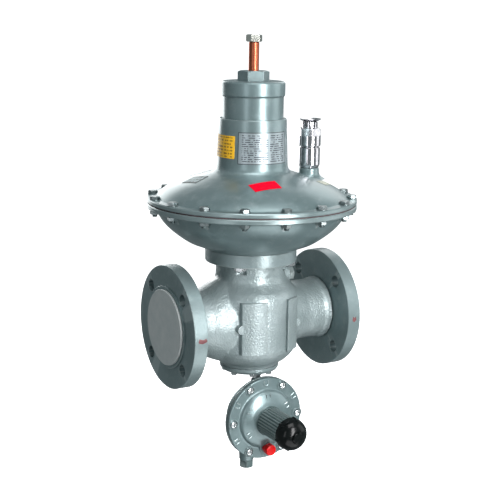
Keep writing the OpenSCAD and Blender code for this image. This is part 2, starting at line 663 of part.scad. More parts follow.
module trip_cover_screws() color("#cdd0d2") at_trip() ring_of(6, trip_screw_pcr) {
    translate([0, 0, -trip_face - 1.2]) difference() {
        lathe([[0, 0], [5, 0], [5, 3.4], [4, 4.6], [0, 5]]);
        translate([0, 0, 2.4]) hexagon(4, 4);
    }
    translate([0, 0, -split_y - trip_lip - 1.5])
        cylinder(r = trip_screw_r - fit, h = split_y - trip_face + trip_lip + 1.5);
}

module trip_spring_plate() color("#9fa3a6") at_trip() translate([0, 0, -split_y + trip_sheet])
    lathe([[4.1, 0], [30, 0], [30, 2], [13, 2], [13, 5], [4.1, 5]]);

module trip_spring_housing() color("#7f8e91") at_trip() difference() {
    union() {
        lathe([[trip_bore_r, -split_y + 10], [20, -split_y + 10], [20, -trip_dome_face],
            [trip_tube_r, -trip_dome_face], [trip_tube_r, -trip_tube_end + 1], [19, -trip_tube_end + 1], [19, -trip_tube_end + 8],
            [trip_bore_r, -trip_tube_end + 8]]);
        ring_of(18, trip_tube_r - 0.4, 10) translate([0, 0, -trip_dome_face + 1])
            cylinder(r = 1.5, h = trip_dome_face - trip_tube_end - 4);
    }
}

module trip_spring() color("#8a5a3a") at_trip()
    coil(11, 1.4, -split_y + trip_sheet + 5.2, -trip_tube_end - 9.2, 9, 16, 8);

module trip_adjuster() color("#b08d4a") at_trip() difference() {
    translate([0, 0, -trip_tube_end - 9]) lathe([[4.08, 0], [trip_bore_r - fit, 0], [trip_bore_r - fit, 12],
        [10, 12], [10, 15], [4.08, 15]]);
    translate([0, 0, -trip_tube_end + 3.5]) ring_of(2, 12) cylinder(r = 1, h = 10);
}

module trip_reset_rod() color("#c5c8ca") at_trip() {
    translate([0, 0, trip_rod_start]) cylinder(r = 4, h = trip_rod_end - trip_rod_start);
}

module trip_cap() color("#151617") at_trip() {
    foot = -trip_tube_end + 1.6;
    tip = -cap_front;
    difference() {
        union() {
            lathe([[0, foot], [trip_cap_r - 1.5, foot], [trip_cap_r, foot + 1.5], [trip_cap_r, foot + 7],
                [trip_cap_r - 1, foot + 12], [trip_cap_r - 4, foot + 17], [trip_cap_r - 9, foot + 21],
                [trip_cap_r - 15, tip - 3], [0, tip - 2]]);
            translate([0, 0, tip - 8]) lathe([[0, 0], [9, 0], [8, 8], [6.5, 9], [0, 9]]);
        }
        translate([0, 0, foot - eps]) cylinder(r = 19.4, h = 9);
        translate([0, 0, foot - eps]) cylinder(r = 4 + fit, h = 16);
    }
}

module trip_button() color("#d8202a") at_trip() translate([0, -button_r_pos, 0]) {
    face = -trip_face + button_boss;
    lathe([[0, face - 3], [7, face - 3], [7, face + 4.5], [button_r, face + 6], [button_r, face + 14],
        [button_r - 1.5, face + 16], [0, face + 16.5]]);
}

module trip_port_fitting() color("#87969a") translate([axis_x + fitting_x, link_y, 0]) difference() {
    union() {
        translate([0, 0, trip_z - 86]) intersection() {
            hexagon(21, 12);
            lathe([[0, 0], [9, 0], [12.5, 2.5], [12.5, 12], [0, 12]]);
        }
        translate([0, 0, trip_z - 74.5]) cylinder(r = 6.5 - fit, h = 10);
    }
    translate([0, 0, trip_z - 90]) cylinder(r = 4, h = 40);
}

valve_body();
inlet_transit_cover();
seat_ring();
seat_ring_seal();
bottom_cover();
bottom_cover_seal();
bottom_cover_screws();
lower_casing();
casing_seal();
casing_studs();
casing_nuts();
upper_casing();
rim_bolts();
rim_nuts();
stem_guide_bush();
stem_guide_seal();
stem();
regulator_plug();
plug_pad();
plug_nut();
diaphragm();
diaphragm_plate_lower();
diaphragm_plate_upper();
lower_spring_seat();
diaphragm_nut();
main_spring();
indicator_rod();
rod_nut();
upper_spring_seat();
thrust_ring();
adjusting_sleeve();
adjusting_cap();
top_bush();
vent_body();
vent_collar();
vent_crown();
vent_disc();
vent_spring();
vent_guide();
sense_port_plug();
slam_cup();
slam_cup_seal();
slam_guide_pin();
slam_guide_bush();
slam_spring();
trip_link();
trip_link_seal();
trip_nipple();
trip_rear_casing();
trip_diaphragm();
trip_front_cover();
trip_cover_screws();
trip_spring_plate();
trip_spring_housing();
trip_spring();
trip_adjuster();
trip_reset_rod();
trip_cap();
trip_button();
trip_port_fitting();
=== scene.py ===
"""Looks of a flanged gas pressure reducing valve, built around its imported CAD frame."""

import json
import logging
import math
from dataclasses import dataclass
from enum import Enum
from typing import Callable, Sequence

import bpy
from mathutils import Matrix, Vector


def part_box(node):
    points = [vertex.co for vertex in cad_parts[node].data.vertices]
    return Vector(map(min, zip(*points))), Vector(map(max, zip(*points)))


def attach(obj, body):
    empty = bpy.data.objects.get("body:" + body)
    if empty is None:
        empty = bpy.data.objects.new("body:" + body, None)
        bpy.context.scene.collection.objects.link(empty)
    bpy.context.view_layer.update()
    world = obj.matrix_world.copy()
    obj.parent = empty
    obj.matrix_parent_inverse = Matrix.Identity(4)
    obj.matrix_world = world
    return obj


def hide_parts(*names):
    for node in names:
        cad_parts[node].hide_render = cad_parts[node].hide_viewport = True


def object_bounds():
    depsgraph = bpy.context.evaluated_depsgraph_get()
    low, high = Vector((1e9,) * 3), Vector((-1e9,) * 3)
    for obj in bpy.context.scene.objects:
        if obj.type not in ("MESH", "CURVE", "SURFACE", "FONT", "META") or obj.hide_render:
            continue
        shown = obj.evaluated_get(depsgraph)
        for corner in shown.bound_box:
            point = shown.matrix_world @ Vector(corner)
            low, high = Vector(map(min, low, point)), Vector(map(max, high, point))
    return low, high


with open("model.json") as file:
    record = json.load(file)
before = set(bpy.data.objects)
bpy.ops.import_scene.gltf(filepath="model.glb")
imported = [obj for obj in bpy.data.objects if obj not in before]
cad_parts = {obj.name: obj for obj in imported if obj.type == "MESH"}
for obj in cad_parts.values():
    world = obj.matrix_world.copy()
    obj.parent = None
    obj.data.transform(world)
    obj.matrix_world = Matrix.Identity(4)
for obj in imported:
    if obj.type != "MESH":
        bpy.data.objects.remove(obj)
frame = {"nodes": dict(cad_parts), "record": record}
CAD_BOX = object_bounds()
LOG = logging.getLogger("valve")
MM = 0.001
STUD_CIRCLE = 62.0

Profile = Sequence[tuple[float, float]]
Colour = tuple[float, float, float]
Piece = bpy.types.Object


class Way(Enum):
    """Which way a turned piece's axis points."""

    UP = Matrix.Identity(4)
    FRONT = Matrix.Rotation(math.radians(90), 4, "X")
    PIPE = Matrix.Rotation(math.radians(90), 4, "Y")


def span(node: str, axis: int = 2) -> tuple[float, float]:
    """Where a CAD node starts and ends along an axis, in millimetres."""
    return tuple(corner[axis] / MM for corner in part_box(node))


def middle(node: str, axis: int = 0) -> float:
    """The middle of a CAD node along an axis, in millimetres."""
    return sum(span(node, axis)) / 2


AXIS_X = middle("upper_casing") * MM
TRIP_Z = middle("trip_front_cover", 2) * MM


# ------------------------------------------------------------------ modelling


def deselect() -> None:
    """Leaves edit mode and selects nothing."""
    if bpy.context.object is not None and bpy.context.object.mode != "OBJECT":
        bpy.ops.object.mode_set(mode="OBJECT")
    bpy.ops.object.select_all(action="DESELECT")


def activate(obj: Piece) -> None:
    """Selects one object alone and makes it active."""
    deselect()
    obj.select_set(True)
    bpy.context.view_layer.objects.active = obj


def tidy(obj: Piece) -> None:
    """Merges doubles and turns the faces outwards."""
    activate(obj)
    bpy.ops.object.mode_set(mode="EDIT")
    bpy.ops.mesh.select_all(action="SELECT")
    bpy.ops.mesh.remove_doubles(threshold=2e-6)
    bpy.ops.mesh.normals_make_consistent(inside=False)
    bpy.ops.object.mode_set(mode="OBJECT")


def applied(obj: Piece, kind: str, **settings: object) -> Piece:
    """Adds a modifier, sets it and applies it.

    Args:
        obj: the mesh object.
        kind: the modifier's type.
        **settings: the modifier's properties.

    Returns:
        The same object.
    """
    activate(obj)
    modifier = obj.modifiers.new(kind.lower(), kind)
    for key, value in settings.items():
        setattr(modifier, key, value)
    bpy.ops.object.modifier_apply(modifier=modifier.name)
    return obj


def placed(obj: Piece, way: Way, centre: Sequence[float], turn: float = 0.0) -> Piece:
    """Turns and moves a piece made about the origin's Z axis, and applies that to its mesh.

    Args:
        obj: the mesh object.
        way: the direction of its axis.
        centre: the point in millimetres that its origin goes to.
        turn: a turn about its own axis first, in degrees.

    Returns:
        The same object.
    """
    activate(obj)
    spot = Matrix.Translation(Vector(centre) * MM)
    obj.matrix_world = spot @ way.value @ Matrix.Rotation(math.radians(turn), 4, "Z") @ obj.matrix_world
    bpy.ops.object.transform_apply(location=True, rotation=True, scale=True)
    return obj


def softened(obj: Piece, width: float = 0.6, angle: float = 30.0, segments: int = 2) -> Piece:
    """Rounds the sharp edges of a piece and shades it smooth.

    Args:
        obj: the mesh object.
        width: the rounding in millimetres, 0 for none.
        angle: edges sharper than this are rounded, in degrees.
        segments: the steps of the rounding.

    Returns:
        The same object.
    """
    if width:
        applied(
            obj, "BEVEL", width=width * MM, segments=segments, limit_method="ANGLE",
            angle_limit=math.radians(angle)
        )
    activate(obj)
    bpy.ops.object.shade_smooth_by_angle(angle=math.radians(38))
    applied(obj, "WEIGHTED_NORMAL", keep_sharp=True)
    return obj


def turned(
    name: str,
    profile: Profile,
    centre: Sequence[float] = (0, 0, 0),
    way: Way = Way.UP,
    steps: int = 96,
    bevel: float = 0.6,
    ring: bool = False,
) -> Piece:
    """A lathe piece: a circle that is extruded and scaled along its profile.

    Args:
        name: the piece's name.
        profile: radius and height pairs in millimetres.
        centre: where the axis's zero lies, in millimetres.
        way: the direction of the axis.
        steps: the vertices round the piece.
        bevel: the rounding of its sharp edges, in millimetres.
        ring: True closes the last circle onto the first, for a piece with a bore.

    Returns:
        The new object.
    """
    deselect()
    radius, height = profile[0]
    fill = "NOTHING" if ring else "NGON"
    bpy.ops.mesh.primitive_circle_add(
        vertices=steps, radius=radius * MM, fill_type=fill, location=(0, 0, height * MM)
    )
    obj = bpy.context.object
    obj.name = obj.data.name = name
    bpy.ops.object.transform_apply(location=True)
    bpy.ops.object.mode_set(mode="EDIT")
    bpy.ops.mesh.select_mode(type="EDGE")
    bpy.ops.mesh.select_all(action="SELECT")
    for next_radius, next_height in [*profile[1:], *([profile[0]] if ring else [])]:
        rise = (0, 0, (next_height - height) * MM)
        bpy.ops.mesh.extrude_edges_move(TRANSFORM_OT_translate={"value": rise})
        if next_radius == 0:
            bpy.ops.mesh.merge(type="CENTER")
            break
        if next_radius != radius:
            share = next_radius / radius
            bpy.ops.transform.resize(value=(share, share, 1), center_override=(0, 0, next_height * MM))
        radius, height = next_radius, next_height
    else:
        if not ring:
            bpy.ops.mesh.edge_face_add()
    bpy.ops.object.mode_set(mode="OBJECT")
    tidy(obj)
    placed(obj, way, centre)
    return softened(obj, bevel) if bevel is not None else obj


def flat_grid(name: str, columns: int, rows: int) -> Piece:
    """A flat grid one metre wide about the origin, to be bent or laid on a piece."""
    deselect()
    bpy.ops.mesh.primitive_grid_add(x_subdivisions=columns, y_subdivisions=rows, size=1)
    obj = bpy.context.object
    obj.name = obj.data.name = name
    return obj


def spun_block(
    name: str, radii: tuple[float, float], heights: tuple[float, float], start: float, sweep: float
) -> Piece:
    """A curved block about the Z axis: an upright rectangle spun through an angle.

    Args:
        name: the piece's name.
        radii: its inner and outer radius in millimetres.
        heights: its low and high face in millimetres.
        start: the angle it starts at, from +X, in degrees.
        sweep: the angle it covers, in degrees.

    Returns:
        The new object.
    """
    deselect()
    bpy.ops.mesh.primitive_plane_add(size=1, rotation=(math.radians(90), 0, 0))
    obj = bpy.context.object
    obj.name = obj.data.name = name
    obj.scale = ((radii[1] - radii[0]) * MM, (heights[1] - heights[0]) * MM, 1)
    obj.location = (sum(radii) / 2 * MM, 0, sum(heights) / 2 * MM)
    bpy.ops.object.transform_apply(location=True, rotation=True, scale=True)
    bpy.ops.object.mode_set(mode="EDIT")
    bpy.ops.mesh.select_all(action="SELECT")
    bpy.ops.mesh.spin(
        steps=max(4, int(sweep / 3)), angle=math.radians(sweep), center=(0, 0, 0), axis=(0, 0, 1)
    )
    bpy.ops.object.mode_set(mode="OBJECT")
    tidy(obj)
    return placed(obj, Way.UP, (0, 0, 0), start + sweep)


def hexagonal(
    name: str, flats: float, low: float, high: float, chamfer: float, turn: float = 0.0
) -> Piece:
    """A hexagon about the Z axis with its corners turned off.

    Args:
        name: the piece's name.
        flats: the size over flats in millimetres.
        low: its low face.
        high: its high face.
        chamfer: the height of the turned corner at the top, negative for both ends.
        turn: degrees from a corner on +X.

    Returns:
        The new object.
    """
    corner = flats / math.sqrt(3)
    obj = turned(name, [(corner, low), (corner, high)], steps=6, bevel=None)
    placed(obj, Way.UP, (0, 0, 0), turn + 30)
    cut = abs(chamfer)
    face = flats / 2 * 0.97
    foot = [(face, low), (corner * 1.02, low + cut)] if chamfer < 0 else [(corner * 1.3, low - 1)]
    cone = turned(name + "_cone", [*foot, (corner * 1.02, high - cut), (face, high)], steps=48, bevel=None)
    carve(obj, cone, "INTERSECT")
    return obj


def carve(obj: Piece, cutter: Piece, operation: str = "DIFFERENCE", solver: str = "EXACT") -> Piece:
    """Applies a boolean with a cutter and removes the cutter.

    Args:
        obj: the mesh object that is cut.
        cutter: the cutting object.
        operation: DIFFERENCE, UNION or INTERSECT.
        solver: EXACT or MANIFOLD.

    Returns:
        The cut object.
    """
    applied(obj, "BOOLEAN", operation=operation, object=cutter, solver=solver)
    bpy.data.objects.remove(cutter)
    return obj


def joined(name: str, parts: Sequence[Piece]) -> Piece:
    """Joins several meshes into one piece with a new name."""
    deselect()
    for part in parts:
        part.select_set(True)
    bpy.context.view_layer.objects.active = parts[0]
    bpy.ops.object.join()
    parts[0].name = parts[0].data.name = name
    return parts[0]


def copied(obj: Piece) -> Piece:
    """A copy of a piece with a mesh of its own."""
    twin = obj.copy()
    twin.data = obj.data.copy()
    bpy.context.collection.objects.link(twin)
    return twin


def ring_of(
    name: str, obj: Piece, count: int, radius: float, first: float = 0.0, wobble: float = 0.0
) -> Piece:
    """Copies a piece round the Z axis and joins the copies.

    Args:
        name: the joined piece's name.
        obj: the piece, made about the Z axis.
        count: how many.
        radius: their distance from the axis in millimetres.
        first: the angle of the first, in degrees.
        wobble: how far each is turned about itself from the last, in degrees.

    Returns:
        The joined object.
    """
    twins = []
    for index in range(count):
        twin = copied(obj)
        angle = math.radians(first + index * 360 / count)
        spin = Matrix.Rotation(math.radians(wobble * index), 4, "Z")
        spot = Matrix.Translation((radius * MM, 0, 0))
        twin.data.transform(Matrix.Rotation(angle, 4, "Z") @ spot @ spin)
        twins.append(twin)
    bpy.data.objects.remove(obj)
    return joined(name, twins)


# ------------------------------------------------------------------ shading


def operator(operation: str, swapped: bool = False) -> Callable:
    """A method that makes a Math node of a value and another value or number.

    Args:
        operation: the node's operation.
        swapped: True puts the other one first.

    Returns:
        The method.
    """

    def method(self: "Value", other: object) -> "Value":
        """The node's result."""
        return self.math(operation, *((other, self) if swapped else (self, other)))

    return method


class Value:
    """A number that a node gives, with Python's operators as Math nodes."""

    __add__ = __radd__ = operator("ADD")
    __mul__ = __rmul__ = operator("MULTIPLY")
    __sub__ = operator("SUBTRACT")
    __rsub__ = operator("SUBTRACT", True)
    __gt__ = operator("GREATER_THAN")
    __lt__ = operator("LESS_THAN")

    def __init__(self, recipe: "Recipe", socket: bpy.types.NodeSocket) -> None:
        """Wraps a socket of a recipe's tree."""
        self.recipe = recipe
        self.socket = socket

    def math(self, operation: str, first: object, second: object) -> "Value":
        """A Math node of two values or numbers."""
        node = self.recipe.node("ShaderNodeMath", {"operation": operation}, {0: first, 1: second})
        return Value(self.recipe, node.outputs[0])

    def wrapped(self, length: float) -> "Value":
        """The remainder after whole lengths."""
        return self.math("FLOORED_MODULO", self, length)

    def stretched(self, low: float, high: float) -> "Value":
        """Maps low to 0 and high to 1, clamped."""
        node = self.recipe.node("ShaderNodeMapRange", {"clamp": True}, {0: self, 1: low, 2: high})
        return Value(self.recipe, node.outputs[0])


class Recipe:
    """A material's node tree, written as expressions."""

    def __init__(self, name: str) -> None:
        """Starts an empty material."""
        self.material = bpy.data.materials.new(name)
        self.material.use_nodes = True
        self.tree = self.material.node_tree
        self.tree.nodes.clear()
        self.place = self.node("ShaderNodeTexCoord").outputs["Object"]

    def node(self, kind: str, settings: dict | None = None, sockets: dict | None = None) -> bpy.types.Node:
        """Adds a node.

        Args:
            kind: its type.
            settings: properties, set first.
            sockets: input names or indices to values, links or Value objects.

        Returns:
            The node.
        """
        node = self.tree.nodes.new(kind)
        for key, value in (settings or {}).items():
            setattr(node, key, value)
        for key, value in (sockets or {}).items():
            source = value.socket if isinstance(value, Value) else value
            if isinstance(source, bpy.types.NodeSocket):
                self.tree.links.new(source, node.inputs[key])
            else:
                node.inputs[key].default_value = source
        return node

    def noise(
        self, size: float, detail: float = 3.0, rough: float = 0.55, stretch: Sequence[float] = (1, 1, 1)
    ) -> Value:
        """Noise with features of about the given size in millimetres."""
        where = self.node("ShaderNodeMapping", None, {"Vector": self.place, "Scale": stretch}).outputs[0]
        sockets = {"Vector": where, "Scale": 1000.0 / size, "Detail": detail, "Roughness": rough}
        return Value(self, self.node("ShaderNodeTexNoise", None, sockets).outputs[0])

    def cells(self, size: float) -> Value:
        """Distance to the nearest of scattered points, size millimetres apart."""
        sockets = {"Vector": self.place, "Scale": 1000.0 / size}
        return Value(self, self.node("ShaderNodeTexVoronoi", None, sockets).outputs["Distance"])

    def edges(self, low: float, high: float) -> Value:
        """1 on outer edges and 0 elsewhere."""
        return Value(self, self.node("ShaderNodeNewGeometry").outputs["Pointiness"]).stretched(low, high)

    def axis(self, index: int, source: bpy.types.NodeSocket | None = None) -> Value:
        """One coordinate of the object's place, in metres, or of another vector."""
        parts = self.node("ShaderNodeSeparateXYZ", None, {0: source or self.place})
        return Value(self, parts.outputs[index])

    def blend(self, share: Value, first: object, second: object) -> bpy.types.NodeSocket:
        """Mixes two colours; plain colours are given as triples."""
        pair = [(*c, 1.0) if isinstance(c, tuple) else c for c in (first, second)]
        node = self.node("ShaderNodeMix", {"data_type": "RGBA"}, {0: share, 6: pair[0], 7: pair[1]})
        return node.outputs[2]

    def bumped(self, *layers: tuple[Value, float, float]) -> bpy.types.NodeSocket:
        """Stacks bumps, each a height, a strength and a depth in millimetres."""
        normal = None
        for height, strength, depth in layers:
            sockets = {"Height": height, "Strength": strength, "Distance": depth * MM}
            if normal is not None:
                sockets["Normal"] = normal
            normal = self.node("ShaderNodeBump", None, sockets).outputs[0]
        return normal

    def shaded(self, **sockets: object) -> bpy.types.Material:
        """Closes the tree with a Principled shader; an underscore in a name is a space."""
        named = {}
        for key, value in sockets.items():
            flat = isinstance(value, tuple) and len(value) == 3
            named[key.replace("_", " ")] = (*value, 1.0) if flat else value
        shader = self.node("ShaderNodeBsdfPrincipled", None, named)
        self.node("ShaderNodeOutputMaterial", None, {"Surface": shader.outputs[0]})
        return self.material


@dataclass(frozen=True)
class Paint:
    """Metallic enamel over metal."""

    name: str
    colour: Colour = (0.185, 0.25, 0.26)
    deep: Colour = (0.137, 0.192, 0.198)
    metallic: float = 0.5
    rough: float = 0.32
    grain: float = 0.0

    def made(self) -> bpy.types.Material:
        """The paint as a material; grain adds the lumps of a sand casting."""
        r = Recipe(self.name)
        cloud = r.noise(55, 3)
        fleck = r.noise(0.9, 2)
        tone = r.blend(cloud.stretched(0.3, 0.72), self.deep, self.colour)
        dust = (r.noise(18, 5, 0.7).stretched(0.52, 0.8)) * 0.3
        tone = r.blend(dust, tone, (0.40, 0.45, 0.455))
        worn = r.edges(0.53, 0.62) * 0.35
        tone = r.blend(worn, tone, (0.55, 0.60, 0.60))
        rough = self.rough + (fleck - 0.5) * 0.10 + (cloud - 0.5) * 0.12 + dust * 0.4
        layers = [(r.noise(3.2, 2), 0.10, 0.12), (fleck, 0.06, 0.05)]
        if self.grain:
            layers = [
                (r.noise(9.0, 3, 0.6), 0.6 * self.grain, 0.8),
                (r.cells(3.1).stretched(0.0, 0.6), 0.85 * self.grain, 0.45),
                (r.noise(1.7, 3), 0.85 * self.grain, 0.24),
            ]
        return r.shaded(
            Base_Color=tone, Roughness=rough, Metallic=self.metallic, Normal=r.bumped(*layers),
            Coat_Weight=0.25, Coat_Roughness=0.22
        )


@dataclass(frozen=True)
class Metal:
    """Bare or plated metal with fine marks."""

    name: str
    colour: Colour
    shade: Colour
    rough: float = 0.25
    line: Sequence[float] = (1, 1, 1)
    depth: float = 0.05

    def made(self) -> bpy.types.Material:
        """The metal as a material; line stretches its marks."""
        r = Recipe(self.name)
        cloud = r.noise(9, 4, 0.6)
        marks = r.noise(1.2, 3, 0.6, self.line)
        stain = r.noise(3.5, 3).stretched(0.42, 0.75)
        tone = r.blend(stain * 0.75, self.colour, self.shade)
        rough = self.rough + (cloud - 0.5) * 0.16 + (marks - 0.5) * 0.14
        return r.shaded(
            Base_Color=tone, Roughness=rough, Metallic=1.0, Normal=r.bumped((marks, 0.25, self.depth))
        )


@dataclass(frozen=True)
class Moulded:
    """Moulded plastic, rubber or board."""

    name: str
    colour: Colour
    shade: Colour
    rough: float = 0.4
    grain: float = 0.4
    coat: float = 0.0
    gloss: float = 0.5

    def made(self) -> bpy.types.Material:
        """The plastic as a material."""
        r = Recipe(self.name)
        cloud = r.noise(14, 4, 0.6)
        skin = r.noise(0.8, 2)
        tone = r.blend(cloud.stretched(0.35, 0.7), self.colour, self.shade)
        rough = self.rough + (cloud - 0.5) * 0.15 + (skin - 0.5) * 0.08
        layers = [(skin, 0.3 * self.grain, 0.05), (r.noise(4, 2), 0.15 * self.grain, 0.1)]
        return r.shaded(
            Base_Color=tone, Roughness=rough, Normal=r.bumped(*layers), Coat_Weight=self.coat,
            Coat_Roughness=0.15, Specular_IOR_Level=self.gloss
        )


PAINT = Paint("paint_smooth")
CAST = Paint("paint_cast", (0.29, 0.345, 0.355), (0.21, 0.26, 0.265), 0.32, 0.33, 1.0)
CAST_FINE = Paint("paint_collar", (0.245, 0.305, 0.315), (0.19, 0.24, 0.245), 0.42, 0.34, 0.5)
FLANGE = Paint("paint_flange", grain=0.28, rough=0.33)
RIBBED = Paint("paint_ribbed", (0.11, 0.16, 0.16), (0.07, 0.105, 0.105), 0.5, 0.34)
DULL = Metal("dull_plate", (0.30, 0.34, 0.345), (0.17, 0.20, 0.205), 0.34)
ZINC = Metal("zinc_plate", (0.72, 0.74, 0.75), (0.50, 0.52, 0.52), 0.24)
CHROME = Metal("nickel_plate", (0.58, 0.575, 0.60), (0.36, 0.355, 0.38), 0.15, depth=0.02)
COPPER = Metal("copper_rod", (0.46, 0.13, 0.07), (0.32, 0.08, 0.04), 0.36, (1, 1, 0.06))
BRIGHT = Metal("bright_nut", (0.80, 0.80, 0.74), (0.66, 0.64, 0.56), 0.2)
BRONZE = Metal("bronze", (0.62, 0.43, 0.2), (0.45, 0.30, 0.13), 0.35)
STEEL = Metal("machined_steel", (0.62, 0.63, 0.64), (0.45, 0.46, 0.47), 0.28, (1, 1, 6))
SPRING = Metal("spring_wire", (0.24, 0.26, 0.27), (0.14, 0.15, 0.16), 0.4)
RUBBER = Moulded("black_rubber", (0.018, 0.018, 0.019), (0.035, 0.034, 0.033), 0.55, 1.0)
BLACK = Moulded("black_cap_plastic", (0.002, 0.003, 0.003), (0.005, 0.006, 0.006), 0.2, 0.1, 0.0, 0.2)
RED = Moulded("red_plastic", (0.72, 0.004, 0.004), (0.60, 0.003, 0.004), 0.34, 0.4, 0.0, 0.3)
BOARD = Moulded("cover_board", (0.40, 0.43, 0.43), (0.47, 0.49, 0.485), 0.5, 1.0)
SEAM = Moulded("diaphragm_cloth", (0.075, 0.035, 0.04), (0.04, 0.022, 0.025), 0.6, 1.0)


@dataclass(frozen=True)
class Label:
    """A printed plate or sticker with plain rows of marks."""

    name: str
    ground: Colour
    ink: Colour
    rows: float = 0.0
    border: float = 0.0
    metallic: float = 0.0
    rough: float = 0.4
    gloss: float = 0.5

    def made(self) -> bpy.types.Material:
        """The label as a material on the piece's own UV map."""
        r = Recipe(self.name)
        chart = r.node("ShaderNodeUVMap", {"uv_map": "UVMap"}).outputs[0]
        across, along = r.axis(0, chart), r.axis(1, chart)
        dirt = r.noise(8, 4, 0.65).stretched(0.45, 0.8)
        tone = r.blend(dirt * 0.35, self.ground, tuple(0.6 * c for c in self.ground))
        if self.rows:
            step = (along * self.rows).wrapped(1.0)
            line = (step > 0.28) * (step < 0.72)
            words = r.node("ShaderNodeMapping", None, {"Vector": chart, "Scale": (26, self.rows * 0.5, 1)})
            sockets = {"Vector": words.outputs[0], "Scale": 1.0, "Detail": 0.0}
            gaps = Value(r, r.node("ShaderNodeTexNoise", None, sockets).outputs[0])
            inside = (across > 0.07) * (across < 0.93) * (along > 0.06) * (along < 0.94)
            column = (across - 0.56).wrapped(1.0) > 0.035
            ink = line * (gaps > 0.44) * inside * column
            tone = r.blend(ink * 0.85, tone, self.ink)
        if self.border:
            rim_x = (across < self.border) + (across > 1 - self.border)
            rim_y = (along < self.border * 2) + (along > 1 - self.border * 2)
            tone = r.blend(((rim_x + rim_y) > 0.5) * 0.85, tone, self.ink)
        rough = self.rough + dirt * 0.15
        return r.shaded(
            Base_Color=tone,
            Roughness=rough,
            Metallic=self.metallic,
            Specular_IOR_Level=self.gloss,
            Normal=r.bumped((r.noise(6, 2), 0.1, 0.1)),
        )


PLATE = Label(
    "name_plate_foil", (0.29, 0.34, 0.36), (0.02, 0.022, 0.03), rows=15, border=0.012, metallic=0.55,
    rough=0.33
)
YELLOW = Label("yellow_label", (0.87, 0.48, 0.02), (0.10, 0.05, 0.01), rows=7)
REDMARK = Label("red_sticker", (0.66, 0.0, 0.018), (0.5, 0.0, 0.01), rough=0.7, gloss=0.05)
FAINT = Label("faint_plate", (0.20, 0.27, 0.28), (0.01, 0.018, 0.018), rows=3, border=0.04, metallic=0.4)
PALE = Label("pale_plate", (0.46, 0.47, 0.38), (0.20, 0.22, 0.19), rows=3, border=0.03, metallic=0.2)
MARK = Moulded("paint_mark", (0.10, 0.018, 0.025), (0.24, 0.10, 0.10), 0.5)


# ------------------------------------------------------------------ sub-assemblies


@dataclass
class SubAssembly:
    """A group of pieces that is built and dressed together."""

    stock: dict

    def coat(self, obj: Piece, finish: object) -> None:
        """Gives a piece its finish alone, and makes the material when it is first used."""
        if finish.name not in self.stock:
            self.stock[finish.name] = finish.made()
        obj.data.materials.clear()
        obj.data.materials.append(self.stock[finish.name])

    def dress(self, obj: Piece, finish: object, body: str, slot: str, *nodes: str) -> Piece:
        """Gives a piece its finish and its place in the frame.

        Args:
            obj: the finished mesh.
            finish: the finish's dataclass.
            body: the CAD body it rides on.
            slot: the record's material slot; not used.
            *nodes: the CAD nodes it stands for.

        Returns:
            The same object.
        """
        self.coat(obj, finish)
        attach(obj, body)
        if nodes:
            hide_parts(*nodes)
        LOG.info("%s on %s: %d faces", obj.name, body, len(obj.data.polygons))
        return obj

    def centre(self, height: float = 0.0) -> tuple[float, float, float]:
        """A point on the valve's upright axis, in millimetres."""
        return (AXIS_X / MM, 0.0, height)

    def upright(self, obj: Piece) -> Piece:
        """Moves a piece made about the origin onto the valve's upright axis."""
        return placed(obj, Way.UP, self.centre())


def arc_profile(points: Profile, steps: int = 4) -> list[tuple[float, float]]:
    """A smooth curve through profile points.

    Args:
        points: the points it passes through.
        steps: how many pieces each span is cut into.

    Returns:
        The denser list of points.
    """
    path = [points[0], *points, points[-1]]
    out = []
    for i in range(1, len(path) - 2):
        for k in range(steps):
            t = k / steps
            out.append(
                tuple(
                    0.5
                    * (
                        2 * here
                        + (after - before) * t
                        + (2 * before - 5 * here + 4 * after - beyond) * t**2
                        + (3 * here - before - 3 * after + beyond) * t**3
                    )
                    for before, here, after, beyond in zip(*path[i - 1 : i + 3])
                )
            )
    return [*out, points[-1]]


